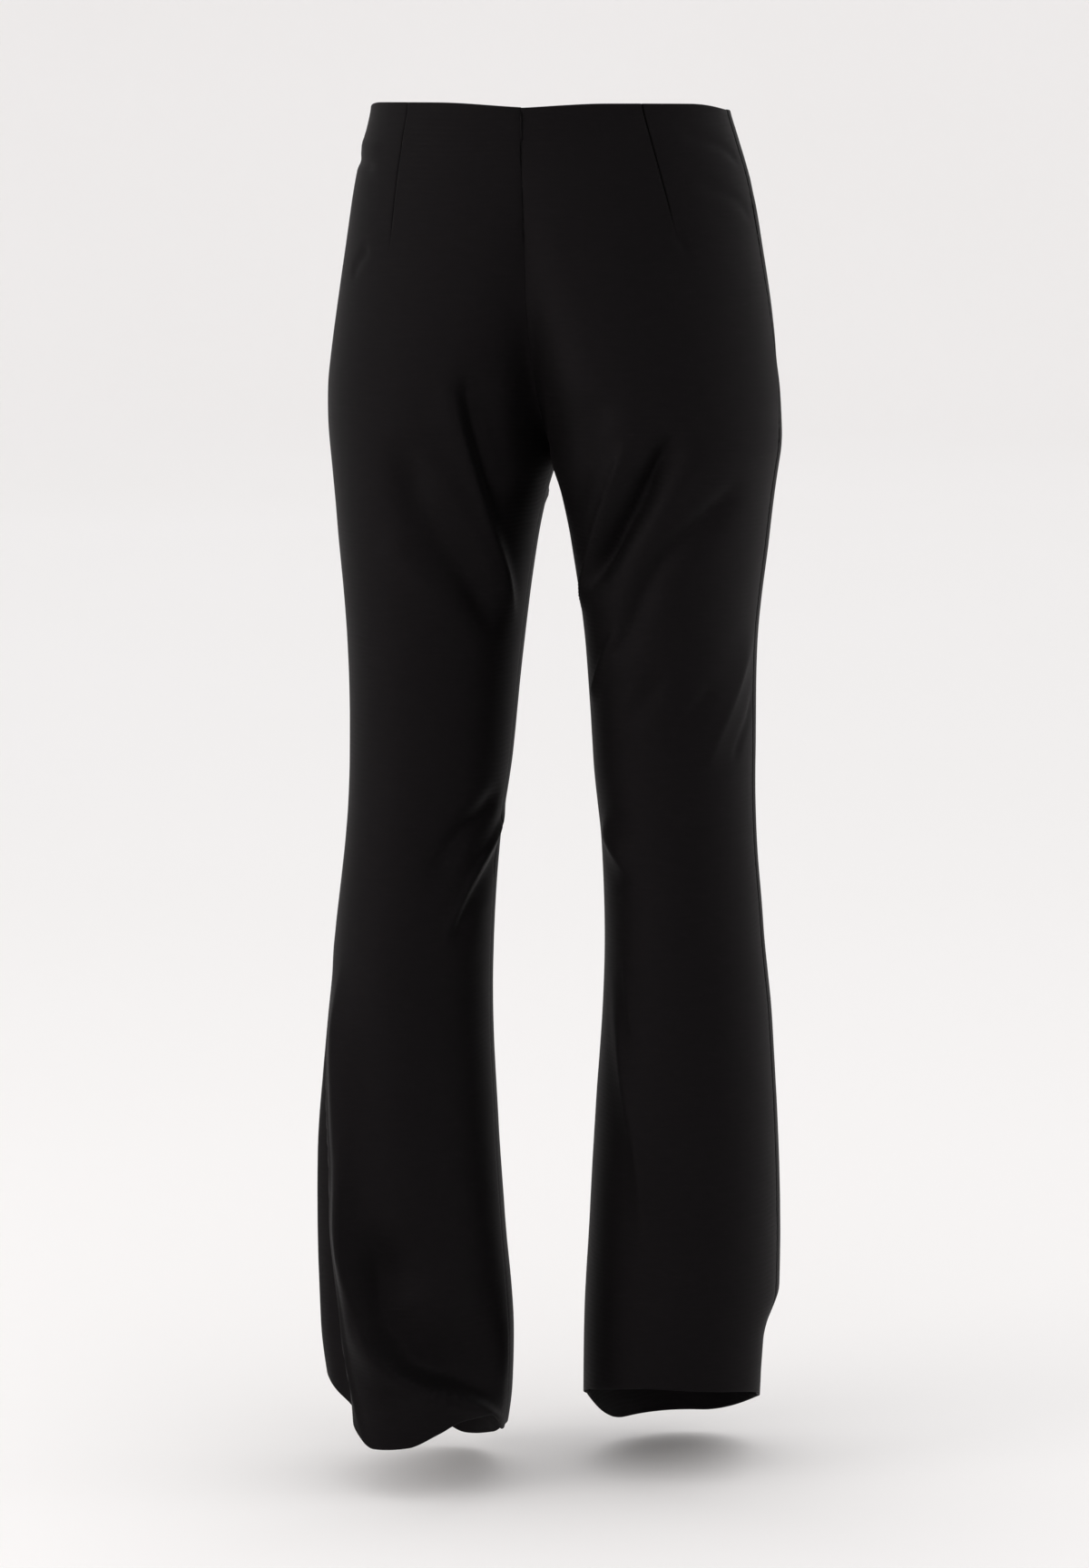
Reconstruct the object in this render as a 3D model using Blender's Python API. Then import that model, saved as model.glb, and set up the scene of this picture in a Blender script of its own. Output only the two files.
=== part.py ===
"""Flared trousers in the shape they have when worn.

Four cut pieces (two backs, two fronts) and a concealed zip in the left side seam.
Metres, +Z up. The origin is the middle of the waist opening, the wearer faces -Y and
the wearer's left is +X. The tables are in millimetres, turned to metres when built.

A place on one half of the trousers is given by two numbers. `around` runs from 0 at the
centre back (or the inseam, under the crotch) over 1 at the side seam to 2 at the centre
front (or the inseam again). `height` is measured from the waist edge, so it is negative.
"""

import math

import bmesh
import bpy
import numpy as np
from mathutils import Matrix, Vector

MM = 0.001
TINY = 1e-9                 # keeps a division by a step of no length from failing

# ---------------------------------------------------------------- driving sizes, mm
WALL = 1.4                  # cloth, with its seam allowances pressed flat
SEAM_GAP = 0.3              # between two pieces at a seam
CROTCH = -288.0             # height of the crotch point
CROTCH_AT_SIDE = -297.0     # the row through the crotch point ends here at the side seam
HEM_LEVEL = -1080.0         # mean height of the hems
HEM_RAMP = 4.0              # how quickly the rows above a hem level out
BACK_RISE = 135.0           # the back crotch curve ends this far over the crotch point
FRONT_RISE = 85.0           # and the front one this far
BACK_BEND = (1.6, 1.4)      # exponents of the back crotch curve
FRONT_BEND = (2.0, 1.7)     # and of the front one
CROTCH_MITRE = 1.6          # the wall is this much thicker at the crotch point
SIDES = {"left": 1, "right": -1}

# ---------------------------------------------------------------- grid of a piece
# share of the way from the waist to the crotch; the close rows hold the zip's slot
SEAT_ROWS = (0, 0.0134, 0.0336, 0.047) + tuple(0.047 + 0.953 * i / 16 for i in range(1, 17))
LEG_ROWS = 34
ROW_TIGHTENING = 0.25       # leg rows lie closer together toward the hem by this share
ARC_STEPS = 120             # steps along a section, from which its columns are spaced
SEAM_STEPS = 200            # steps along the centre seam, from which its rows are spaced
SEAM_FOOT = 8.0             # the last stretch of that seam, where it runs nearly level
SHARP_ANGLE = 50            # degrees, above which an edge is shaded sharp
BACK_COLUMNS = {
    "left": (0, 0.07, 0.15, 0.23, 0.31, 0.39, 0.47, 0.54, 0.60, 0.65, 0.70, 0.75, 0.81, 0.875,
             0.945, 1),
    "right": (0, 0.07, 0.15, 0.23, 0.31, 0.39, 0.47, 0.55, 0.63, 0.72, 0.81, 0.90, 1),
}
FRONT_COLUMNS = {
    "left": (1, 1.055, 1.14, 1.23, 1.32, 1.41, 1.50, 1.60, 1.70, 1.80, 1.90, 2),
    "right": (1, 1.08, 1.17, 1.26, 1.35, 1.44, 1.53, 1.62, 1.71, 1.80, 1.90, 2),
}

# ---------------------------------------------------------------- sections, mm
SECTION_COLUMNS = ("height", "lean", "apart", "set_back", "inner", "outer",
                   "front", "back", "square", "back_seam", "front_seam")

SEAT = (
    (20, -0.2, 0, 0, 130, 142.6, 96, 104, 2.20, 104, 96),
    (0, -0.7, 0, 0, 130, 146.1, 98, 105, 2.20, 105, 98),
    (-30, -1.7, 10, 0, 118, 142.6, 102, 107, 2.20, 106.5, 101.5),
    (-60, -2.7, 20, -1, 106, 140.6, 105, 110, 2.20, 108, 104.5),
    (-120, -3.7, 38, -3, 86, 133.1, 108, 115, 2.20, 107, 105),
    (-180, -4.0, 55, -5, 78, 125.6, 109, 120, 2.20, 104, 103),
    (-220, -4.0, 66, -6, 75, 119.6, 107, 122, 2.20, 106, 101),
    (-252, -3.8, 78, -7, 79, 109.0, 103, 118, 2.15, 108, 98),
    (-288, -3.6, 90, -8, 90, 95.0, 99, 111, 2.10, 111, 96),
)
LEG = {
    "left": (
        (-318, -3.4, 94.5, -7, 86.0, 87.5, 97, 105, 2.1, 0, 0),
        (-360, -3.3, 97.5, -5, 80.6, 80.5, 94, 99, 2.1, 0, 0),
        (-450, -3.3, 99.5, 0, 71.8, 70.5, 84, 87, 2.1, 0, 0),
        (-540, -3.3, 102.8, 4, 66.8, 65.5, 75, 78, 2.1, 0, 0),
        (-610, -3.3, 108.5, 11, 63.8, 62.5, 71, 75, 2.1, 0, 0),
        (-680, -3.3, 113.0, 20, 65.3, 64.0, 72, 76, 2.1, 0, 0),
        (-760, -3.3, 115.7, 30, 69.3, 68.0, 77, 80, 2.1, 0, 0),
        (-840, -3.3, 114.5, 38, 73.8, 72.5, 84, 83, 2.1, 0, 0),
        (-920, -3.3, 110.8, 45, 76.8, 75.5, 92, 85, 2.1, 0, 0),
        (-1000, -3.3, 104.5, 52, 78.8, 77.5, 98, 86, 2.1, 0, 0),
        (-1060, -3.3, 101.0, 56, 75.5, 73.0, 102, 86, 2.1, 0, 0),
        (-1130, -3.3, 98.0, 58, 62.0, 66.5, 104, 84, 2.1, 0, 0),
    ),
    "right": (
        (-318, -3.4, 92.5, -10, 84.0, 87.7, 97, 105, 2.1, 0, 0),
        (-360, -3.3, 94.2, -12, 77.6, 80.9, 94, 98, 2.1, 0, 0),
        (-450, -3.3, 95.0, -19, 68.0, 69.9, 84, 86, 2.1, 0, 0),
        (-540, -3.3, 96.0, -26, 65.0, 66.9, 76, 77, 2.1, 0, 0),
        (-610, -3.3, 100.0, -28, 62.5, 64.4, 71, 74, 2.1, 0, 0),
        (-680, -3.3, 104.3, -28, 64.0, 65.9, 73, 76, 2.1, 0, 0),
        (-760, -3.3, 106.7, -29, 69.0, 70.9, 79, 80, 2.1, 0, 0),
        (-840, -3.3, 106.3, -29, 74.0, 75.9, 86, 84, 2.1, 0, 0),
        (-920, -3.3, 105.2, -30, 77.5, 79.4, 93, 86, 2.1, 0, 0),
        (-1000, -3.3, 102.4, -31, 79.3, 81.2, 99, 87, 2.1, 0, 0),
        (-1060, -3.3, 100.0, -32, 78.0, 79.9, 103, 86, 2.1, 0, 0),
        (-1130, -3.3, 98.0, -33, 76.0, 77.9, 106, 84, 2.1, 0, 0),
    ),
}

# ---------------------------------------------------------------- edges: around, height
TOP_EDGE = ((0, -4.5), (0.35, -1.0), (0.7, -1.5), (1, -7), (1.4, -10), (2, -12))
HEM = {
    "left": ((0, -1093), (0.06, -1090), (0.14, -1077), (0.20, -1069), (0.28, -1071), (0.36, -1081),
             (0.46, -1093), (0.58, -1096), (0.66, -1083), (0.75, -1068), (0.85, -1050), (1, -1034),
             (1.2, -1044), (1.4, -1098), (1.55, -1126), (1.68, -1119), (1.85, -1098), (2, -1091)),
    "right": ((0, -1083), (0.25, -1064), (0.5, -1054), (0.75, -1063), (1, -1084),
              (1.25, -1105), (1.5, -1122), (1.75, -1119), (2, -1083)),
}

# ---------------------------------------------------------------- folds
# rise is how far the cloth stands out (or in, where negative); inner_reach and outer_reach
# are the half-widths toward the inseam and toward the side seam (or the other way round on
# the front); path is where the fold runs, as (around, height), from its top to its end
FOLD_COLUMNS = ("side", "rise", "inner_reach", "outer_reach", "path")
FOLDS = (
    # right back: drag lines from the seat to the inner thigh
    ("right", 4.5, 20, 10, ((0.385, -226), (0.39, -268), (0.41, -316), (0.38, -334), (0.27, -386))),
    ("right", -6.0, 10, 22, ((0.54, -266), (0.53, -288), (0.51, -312), (0.395, -358), (0.31, -392))),
    ("right", -5.0, 18, 24, ((0.74, -320), (0.56, -366), (0.48, -404), (0.39, -456))),
    ("right", 4.0, 14, 12, ((0.98, -440), (0.85, -486), (0.70, -532))),
    ("right", 4.0, 10, 14, ((0.20, -586), (0.30, -610), (0.385, -634))),
    ("right", 3.0, 14, 14, ((0.33, -690), (0.36, -760), (0.41, -862), (0.44, -934))),
    # left back: the hollow under the seat, the knee, the pleat at the side and the hem's scoop
    ("left", -9.0, 24, 16, ((0.24, -215), (0.28, -262), (0.36, -300), (0.325, -340))),
    ("left", -5.0, 18, 20, ((0.52, -318), (0.415, -364), (0.25, -400))),
    ("left", 3.0, 9, 16, ((0.38, -306), (0.29, -350), (0.20, -394))),
    ("left", -6.0, 13, 15, ((0.17, -578), (0.26, -604), (0.36, -632))),
    ("left", -15.0, 11, 15, ((0.90, -700), (0.83, -790), (0.775, -880), (0.76, -980), (0.75, -1060),
                             (0.75, -1160))),
    ("left", 4.0, 15, 9, ((0.72, -740), (0.67, -830), (0.65, -930), (0.655, -1020), (0.62, -1110))),
    ("left", -13.0, 40, 16, ((0.52, -900), (0.54, -985), (0.49, -1022), (0.40, -1038), (0.24, -1050),
                             (0.10, -1066))),
    # fronts: drag lines from the crotch, the knee and the break over the instep
    ("left", -3.5, 12, 12, ((1.55, -222), (1.72, -252), (1.90, -286))),
    ("left", 3.0, 12, 12, ((1.45, -286), (1.68, -318), (1.90, -336))),
    ("left", -4.0, 16, 16, ((1.30, -520), (1.50, -544), (1.76, -530))),
    ("left", -7.0, 26, 20, ((1.22, -960), (1.50, -1000), (1.80, -1006))),
    ("right", -3.5, 12, 12, ((1.52, -228), (1.70, -256), (1.89, -288))),
    ("right", 3.0, 12, 12, ((1.42, -300), (1.66, -326), (1.90, -346))),
    ("right", -4.0, 16, 16, ((1.26, -536), (1.52, -560), (1.80, -548))),
    ("right", -7.0, 26, 20, ((1.20, -990), (1.50, -1016), (1.82, -1004))),
)
FOLD_STEPS = 24             # points along a fold's path
FOLD_END = 0.28             # share of a fold's length over which it fades in or out
MIDLINE_FADE = 22.0         # folds fade out this close to the centre back and centre front
FADE_BELOW_CROTCH = 12.0    # and still do so this far under the crotch
OPEN_ROW = 1e6              # stands for the girth of a row that doesn't close on one leg

# ---------------------------------------------------------------- zip in the left side seam
ZIP_ROWS = (1, 13)          # first and last row of the tapes
SLOT_ROWS = (1, 2)          # the pull's loop comes out through the seam at these rows
SLOT_HALF = 1.2             # half the slot's width
TAPE_WALL = 0.8
TAPE_GAP = 0.4              # between the cloth and a tape
TAPE_EDGE = 1.5             # from the seam to a tape's near edge
PULL_HEIGHT = -14.0         # where the pull hangs
PIVOT_OUT = 1.6             # its pivot, this far out from the cloth
SEAM_SPAN = 4.0             # the seam's direction there is taken this far up and down
LOOP = {"thick": 1.1, "tall": 3.4, "window": 1.7, "out": 3.2, "root": 0.5}
SLIDER = {"wide": 6.0, "tall": 9.0, "deep": 2.0, "behind": 3.2, "bevel": 0.5}
PULL = {"thick": 0.9, "top": 4.0, "bottom": 5.6, "length": 19.0, "end_steps": 8,
        "slot_wide": 1.9, "slot_from": 0.45, "slot_to": 4.2}
CUTTER_DEPTH = 3            # a cutter is this many times as thick as what it cuts

# ---------------------------------------------------------------- finishes: colour, roughness
FINISHES = {
    "black_crepe": ((0.010, 0.009, 0.009), 0.75),
    "black_zip_tape": ((0.012, 0.012, 0.012), 0.85),
    "black_enamelled_zinc": ((0.015, 0.015, 0.016), 0.35),
}


def smooth_curve(places, values, at):
    """A smooth curve through a table's points that doesn't swing past them."""
    places = np.asarray(places, float)
    values = np.asarray(values, float)
    steps = np.diff(places)
    slopes = np.diff(values) / steps
    before = slopes[:-1]
    after = slopes[1:]
    same_way = before * after > 0
    weight_before = 2 * steps[1:] + steps[:-1]
    weight_after = steps[1:] + 2 * steps[:-1]
    safe_before = np.where(same_way, before, 1.0)
    safe_after = np.where(same_way, after, 1.0)
    mean = (weight_before + weight_after) / (weight_before / safe_before + weight_after / safe_after)
    tangents = np.concatenate((slopes[:1], np.where(same_way, mean, 0.0), slopes[-1:]))
    at = np.clip(at, places[0], places[-1])
    k = np.clip(np.searchsorted(places, at, side="right") - 1, 0, len(steps) - 1)
    t = (at - places[k]) / steps[k]
    return ((1 + 2 * t) * (1 - t) ** 2 * values[k] + t * (1 - t) ** 2 * steps[k] * tangents[k]
            + t * t * (3 - 2 * t) * values[k + 1] + t * t * (t - 1) * steps[k] * tangents[k + 1])


def smooth_step(t):
    """Rises from 0 to 1 with level ends."""
    t = np.clip(t, 0, 1)
    return t * t * (3 - 2 * t)


def section_sizes(side, height):
    """The section's sizes at each height, one array for each named column."""
    rows = np.array(SEAT + LEG[side], float)[::-1]
    columns = dict(zip(SECTION_COLUMNS, rows.T))
    return {name: smooth_curve(rows[:, 0], column, height) for name, column in columns.items()}


def crotch_share(height, is_back):
    """Share of the seat seam's depth that the crotch curve has reached at a height."""
    rise = np.where(is_back, BACK_RISE, FRONT_RISE)
    power = np.where(is_back, BACK_BEND[0], FRONT_BEND[0])
    root = np.where(is_back, BACK_BEND[1], FRONT_BEND[1])
    up = np.clip((height - CROTCH) / rise, 0, 1)
    return (1 - (1 - up) ** power) ** (1 / root)


def smooth_form(side, around, height):
    """Points of the form before its folds, and the length of cloth from seam to seam there."""
    around, height = np.broadcast_arrays(np.asarray(around, float), np.asarray(height, float))
    shape = around.shape
    around = around.ravel()
    height = height.ravel()
    is_back = around <= 1
    sizes = section_sizes(side, height)
    power = 2 / sizes["square"][:, None]
    depth = np.where(is_back, sizes["back"], sizes["front"])
    seam = np.where(is_back, sizes["back_seam"], sizes["front_seam"])
    over_crotch = height > CROTCH
    share = np.clip(seam / depth * crotch_share(height, is_back), 0, 1)
    start = np.where(over_crotch, np.arcsin(share ** (1 / power[:, 0])), 0)
    turn = start[:, None] + (math.pi - start[:, None]) * np.linspace(0, 1, ARC_STEPS)[None, :]
    cosine = np.cos(turn)
    reach = np.where(cosine > 0, sizes["inner"][:, None], sizes["outer"][:, None])
    out = sizes["apart"][:, None] - np.sign(cosine) * np.abs(cosine) ** power * reach
    deep = depth[:, None] * np.abs(np.sin(turn)) ** power
    midline = np.clip(out[:, :1], 0, None) * over_crotch[:, None]
    out = np.sqrt(np.clip(out ** 2 - midline ** 2, 0, None))
    steps = np.hypot(np.diff(out, axis=1), np.diff(deep, axis=1))
    length = np.hstack((np.zeros((len(out), 1)), np.cumsum(steps, axis=1)))
    from_centre = np.where(is_back, around, 2 - around)
    wanted = from_centre * length[:, -1]
    k = np.clip(np.sum(length <= wanted[:, None], axis=1) - 1, 0, ARC_STEPS - 2)
    row = np.arange(len(out))
    part = (wanted - length[row, k]) / np.maximum(steps[row, k], TINY)
    x = out[row, k] + part * (out[row, k + 1] - out[row, k])
    y = deep[row, k] + part * (deep[row, k + 1] - deep[row, k])
    points = np.stack((sizes["lean"] + SIDES[side] * x,
                       sizes["set_back"] + np.where(is_back, y, -y),
                       height), axis=-1)
    return points.reshape(shape + (3,)), length[:, -1].reshape(shape)


def seam_rows(side, is_back):
    """Heights of the seat's rows along the centre seam, evenly spread over its length."""
    top = smooth_curve(*zip(*TOP_EDGE), 0.0 if is_back else 2.0)
    upper = np.linspace(top, CROTCH + SEAM_FOOT, SEAM_STEPS)
    foot = CROTCH + SEAM_FOOT * np.linspace(1, 0, SEAM_STEPS)[1:] ** 2
    heights = np.concatenate((upper, foot))
    sizes = section_sizes(side, heights)
    seam = sizes["back_seam"] if is_back else sizes["front_seam"]
    deep = seam * crotch_share(heights, is_back)
    length = np.concatenate(([0], np.cumsum(np.hypot(np.diff(heights), np.diff(deep)))))
    return np.interp(np.array(SEAT_ROWS) * length[-1], length, heights)


def row_heights(side, around):
    """Heights of every row at each place around, from the waist edge to the hem."""
    around = np.asarray(around, float)
    top = smooth_curve(*zip(*TOP_EDGE), around)
    hem = smooth_curve(*zip(*HEM[side]), around)
    share = np.array(SEAT_ROWS)[:, None]
    at_side = top[None, :] + (CROTCH_AT_SIDE - top[None, :]) * share
    back_seam = seam_rows(side, True)[:, None]
    front_seam = seam_rows(side, False)[:, None]
    at_seam = np.where(around[None, :] <= 1, back_seam, front_seam)
    centred = np.abs(around - 1)[None, :] ** 2
    seat = at_side + (at_seam - at_side) * centred
    way = np.arange(1, LEG_ROWS + 1) / LEG_ROWS
    way = (way * (1 + ROW_TIGHTENING - ROW_TIGHTENING * way))[:, None]
    leg = seat[-1] + (HEM_LEVEL - seat[-1]) * way + (hem - HEM_LEVEL) * way ** HEM_RAMP
    return np.vstack((seat, leg))


def fold_lift(side, around, height, cloth_length):
    """How far the folds lift each point off the smooth form."""
    across = (around - 1) * cloth_length
    _, back_length = smooth_form(side, 0.5 + 0 * height, height)
    _, front_length = smooth_form(side, 1.5 + 0 * height, height)
    girth = np.where(height < CROTCH, back_length + front_length, OPEN_ROW)
    lift = np.zeros_like(height)
    for fold in FOLDS:
        named = dict(zip(FOLD_COLUMNS, fold))
        if named["side"] != side:
            continue
        path = np.array(named["path"], float)
        stops = np.linspace(0, len(path) - 1, FOLD_STEPS)
        path_around = smooth_curve(range(len(path)), path[:, 0], stops)
        path_height = smooth_curve(range(len(path)), path[:, 1], stops)
        _, path_length = smooth_form(side, path_around, path_height)
        path_across = (path_around - 1) * path_length
        run = np.stack((np.diff(path_across), np.diff(path_height)), axis=-1)
        span = np.hypot(run[:, 0], run[:, 1])
        gone = np.concatenate(([0], np.cumsum(span)))
        nearest = np.full(height.shape, np.inf)
        side_of = np.zeros(height.shape)
        along = np.zeros(height.shape)
        for i in range(FOLD_STEPS - 1):
            dx = across - path_across[i]
            dx = dx - girth * np.round(dx / girth)
            dz = height - path_height[i]
            t = np.clip((dx * run[i, 0] + dz * run[i, 1]) / span[i] ** 2, 0, 1)
            off_x = dx - t * run[i, 0]
            off_z = dz - t * run[i, 1]
            distance = np.hypot(off_x, off_z)
            closer = distance < nearest
            nearest = np.where(closer, distance, nearest)
            side_of = np.where(closer, run[i, 0] * off_z - run[i, 1] * off_x, side_of)
            along = np.where(closer, (gone[i] + t * span[i]) / gone[-1], along)
        reach = np.where(side_of < 0, named["inner_reach"], named["outer_reach"])
        ends = smooth_step(along / FOLD_END) * smooth_step((1 - along) / FOLD_END)
        lift += named["rise"] * np.exp(-(nearest / reach) ** 2) * ends
    from_midline = (1 - np.abs(around - 1)) * cloth_length
    beside_midline = height > CROTCH - FADE_BELOW_CROTCH
    fade = np.where(beside_midline, smooth_step(from_midline / MIDLINE_FADE), 1.0)
    return lift * fade


def form_normals(points, rows_on_midline, lean):
    """Outward directions over one whole half, from the points beside each point."""
    left = points[:, -2].copy()
    right = points[:, 1].copy()
    seat = slice(0, rows_on_midline)
    left[seat] = points[seat, 1]
    left[seat, 0] = 2 * lean[seat] - left[seat, 0]
    right[seat] = points[seat, -2]
    right[seat, 0] = 2 * lean[seat] - right[seat, 0]
    padded = np.concatenate((left[:, None], points, right[:, None]), axis=1)
    along_row = padded[:, 2:] - padded[:, :-2]
    down = np.gradient(points, axis=0)
    normals = np.cross(along_row, down)
    return normals / np.linalg.norm(normals, axis=-1, keepdims=True)


def half_form(side):
    """Outer points, outward directions and places around of one half's whole grid."""
    around = np.array(BACK_COLUMNS[side] + FRONT_COLUMNS[side][1:], float)
    height = row_heights(side, around)
    place = np.broadcast_to(around, height.shape)
    points, cloth_length = smooth_form(side, place, height)
    lean = section_sizes(side, height[:, 0])["lean"]
    seat_rows = len(SEAT_ROWS)
    outward = form_normals(points, seat_rows, lean) * SIDES[side]
    points = points + outward * fold_lift(side, place, height, cloth_length)[..., None]
    outward = form_normals(points, seat_rows, lean) * SIDES[side]
    crotch = seat_rows - 1
    outward[:crotch, (0, -1), 0] = 0
    outward[crotch, (0, -1)] = (0, 0, -CROTCH_MITRE)
    outward[:crotch] /= np.linalg.norm(outward[:crotch], axis=-1, keepdims=True)
    points[:seat_rows, (0, -1), 0] = lean[:seat_rows, None]
    return points, outward, around


def edge_set_in(outer, inner, column, toward, amounts):
    """Move one edge column of a piece toward its neighbour column, to open the seam."""
    for grid in (outer, inner):
        step = grid[:, toward] - grid[:, column]
        step /= np.linalg.norm(step, axis=-1, keepdims=True)
        grid[:, column] += step * amounts[:, None]


def piece_grids(side, panel):
    """Outer and inner points of one cut piece, set in at its seams."""
    points, outward, around = half_form(side)
    seam_column = len(BACK_COLUMNS[side]) - 1
    columns = slice(0, seam_column + 1) if panel == "back" else slice(seam_column, None)
    outer = points[:, columns].copy()
    inner = outer - outward[:, columns] * WALL
    if panel == "front":
        outer = outer[:, ::-1]
        inner = inner[:, ::-1]
    amounts = np.full(len(outer), SEAM_GAP / 2)
    edge_set_in(outer, inner, 0, 1, amounts)
    if side == "left":
        amounts[list(SLOT_ROWS)] = SLOT_HALF
    edge_set_in(outer, inner, -1, -2, amounts)
    lean = section_sizes(side, outer[:, 0, 2])["lean"][:, None]
    for grid in (outer, inner):
        clear = np.maximum(SIDES[side] * (grid[..., 0] - lean), SEAM_GAP / 2)
        seat = slice(0, len(SEAT_ROWS))
        grid[seat, :, 0] = (lean + SIDES[side] * clear)[seat]
    return outer * MM, inner * MM


def wall_object(name, outer, inner, material):
    """A closed wall of cloth between two grids of points."""
    rows, columns = outer.shape[:2]
    bm = bmesh.new()
    bmesh.ops.create_grid(bm, x_segments=columns - 1, y_segments=rows - 1, size=1.0)
    bmesh.ops.triangulate(bm, faces=bm.faces[:], quad_method="FIXED")
    made = bmesh.ops.extrude_face_region(bm, geom=bm.faces[:])
    inner_verts = {item for item in made["geom"] if isinstance(item, bmesh.types.BMVert)}
    for vert in bm.verts:
        column = round((vert.co.x + 1) / 2 * (columns - 1))
        row = round((vert.co.y + 1) / 2 * (rows - 1))
        vert.co = inner[row, column] if vert in inner_verts else outer[row, column]
    bmesh.ops.recalc_face_normals(bm, faces=bm.faces[:])
    return finish_object(name, bm, material)


def finish_object(name, bm, material, matrix=None):
    """A named object of a bmesh, shaded smooth but for its sharp edges."""
    mesh = bpy.data.meshes.new(name)
    bm.to_mesh(mesh)
    bm.free()
    mesh.materials.append(material)
    mesh.shade_smooth()
    mesh.set_sharp_from_angle(angle=math.radians(SHARP_ANGLE))
    thing = bpy.data.objects.new(name, mesh)
    bpy.context.collection.objects.link(thing)
    if matrix is not None:
        thing.matrix_world = matrix
    return thing


def finish_material(name):
    """A material of one of the finishes."""
    colour, roughness = FINISHES[name]
    material = bpy.data.materials.new(name)
    material.use_nodes = True
    shader = material.node_tree.nodes["Principled BSDF"]
    shader.inputs["Base Color"].default_value = (*colour, 1.0)
    shader.inputs["Roughness"].default_value = roughness
    shader.inputs["Metallic"].default_value = 0.0
    return material


def tape_object(panel, material):
    """One zip tape, lying behind its piece beside the seam."""
    outer, inner = piece_grids("left", panel)
    first, last = ZIP_ROWS
    cloth = inner[first:last + 1, -2:]
    inward = cloth - outer[first:last + 1, -2:]
    inward /= np.linalg.norm(inward, axis=-1, keepdims=True)
    step = cloth[:, 0] - cloth[:, 1]
    step /= np.linalg.norm(step, axis=-1, keepdims=True)
    set_in = np.full(len(cloth), TAPE_EDGE - SEAM_GAP / 2)
    for row in SLOT_ROWS:
        set_in[row - first] = TAPE_EDGE - SLOT_HALF
    near = cloth.copy()
    near[:, 1] += step * set_in[:, None] * MM
    near = near + inward * TAPE_GAP * MM
    far = near + inward * TAPE_WALL * MM
    return wall_object("zip_tape_" + panel, near, far, material)


def seam_frame():
    """Axes at the pull: x out of the cloth, y along the waist, z up the seam."""
    heights = PULL_HEIGHT + SEAM_SPAN * np.array((1, 0, -1))
    points, _ = smooth_form("left", np.ones(3), heights)
    up = Vector(points[0] - points[2]).normalized()
    sideways = Vector((0, 1, 0))
    out = sideways.cross(up).normalized()
    frame = Matrix((out, sideways, up)).transposed().to_4x4()
    frame.translation = Vector(points[1]) * MM
    return frame


def box(sizes, centre):
    """A bmesh box of the given sizes in millimetres."""
    bm = bmesh.new()
    bmesh.ops.create_cube(bm, size=1.0)
    bmesh.ops.scale(bm, vec=Vector(sizes) * MM, verts=bm.verts)
    bmesh.ops.translate(bm, vec=Vector(centre) * MM, verts=bm.verts)
    return bm


def cut_or_join(thing, other, operation):
    """Change an object by another that serves only as its cutter or its added part."""
    change = thing.modifiers.new(operation.lower() + "_" + other.name, "BOOLEAN")
    change.operation = operation
    change.solver = "EXACT"
    change.object = other
    other.hide_render = True
    other.display_type = "WIRE"


def zip_slider(frame, material):
    """The slider's body behind the tapes, and the loop that comes out through the seam."""
    body_at = -(SLIDER["behind"] + SLIDER["deep"] / 2)
    body = box((SLIDER["deep"], SLIDER["wide"], SLIDER["tall"]), (body_at, 0, 0))
    bmesh.ops.bevel(body, geom=body.edges[:], offset=SLIDER["bevel"] * MM, offset_type="OFFSET",
                    segments=1, profile=0.5, affect="EDGES", material=-1)
    slider = finish_object("zip_slider", body, material, frame)
    root = -(SLIDER["behind"] + LOOP["root"])
    loop = box((LOOP["out"] - root, LOOP["thick"], LOOP["tall"]), ((LOOP["out"] + root) / 2, 0, 0))
    cut_or_join(slider, finish_object("slider_loop", loop, material, frame), "UNION")
    window_sizes = (LOOP["window"], CUTTER_DEPTH * LOOP["thick"], LOOP["window"])
    window = box(window_sizes, (PIVOT_OUT, 0, 0))
    cut_or_join(slider, finish_object("slider_window", window, material, frame), "DIFFERENCE")
    return slider


def zip_pull(frame, material):
    """The pull tab: a tapered plate with a rounded end, whose slot takes the slider's loop."""
    pivot = frame @ Matrix.Translation((PIVOT_OUT * MM, 0, 0))
    top = PULL["slot_from"]
    radius = PULL["bottom"] / 2
    round_at = radius - PULL["length"]
    bm = bmesh.new()
    corners = [(PULL["top"] / 2, top), (-PULL["top"] / 2, top)]
    for i in range(PULL["end_steps"] + 1):
        turn = math.pi * (1 + i / PULL["end_steps"])
        corners.append((radius * math.cos(turn), round_at + radius * math.sin(turn)))
    verts = [bm.verts.new((-PULL["thick"] / 2 * MM, y * MM, z * MM)) for y, z in corners]
    face = bm.faces.new(verts)
    made = bmesh.ops.extrude_face_region(bm, geom=[face])
    moved = [item for item in made["geom"] if isinstance(item, bmesh.types.BMVert)]
    bmesh.ops.translate(bm, vec=(PULL["thick"] * MM, 0, 0), verts=moved)
    bmesh.ops.recalc_face_normals(bm, faces=bm.faces[:])
    pull = finish_object("zip_pull", bm, material, pivot)
    slot_tall = PULL["slot_to"] - PULL["slot_from"]
    slot_at = -(PULL["slot_to"] + PULL["slot_from"]) / 2
    slot = box((CUTTER_DEPTH * PULL["thick"], PULL["slot_wide"], slot_tall), (0, 0, slot_at))
    cut_or_join(pull, finish_object("pull_slot", slot, material, pivot), "DIFFERENCE")
    return pull


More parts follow.
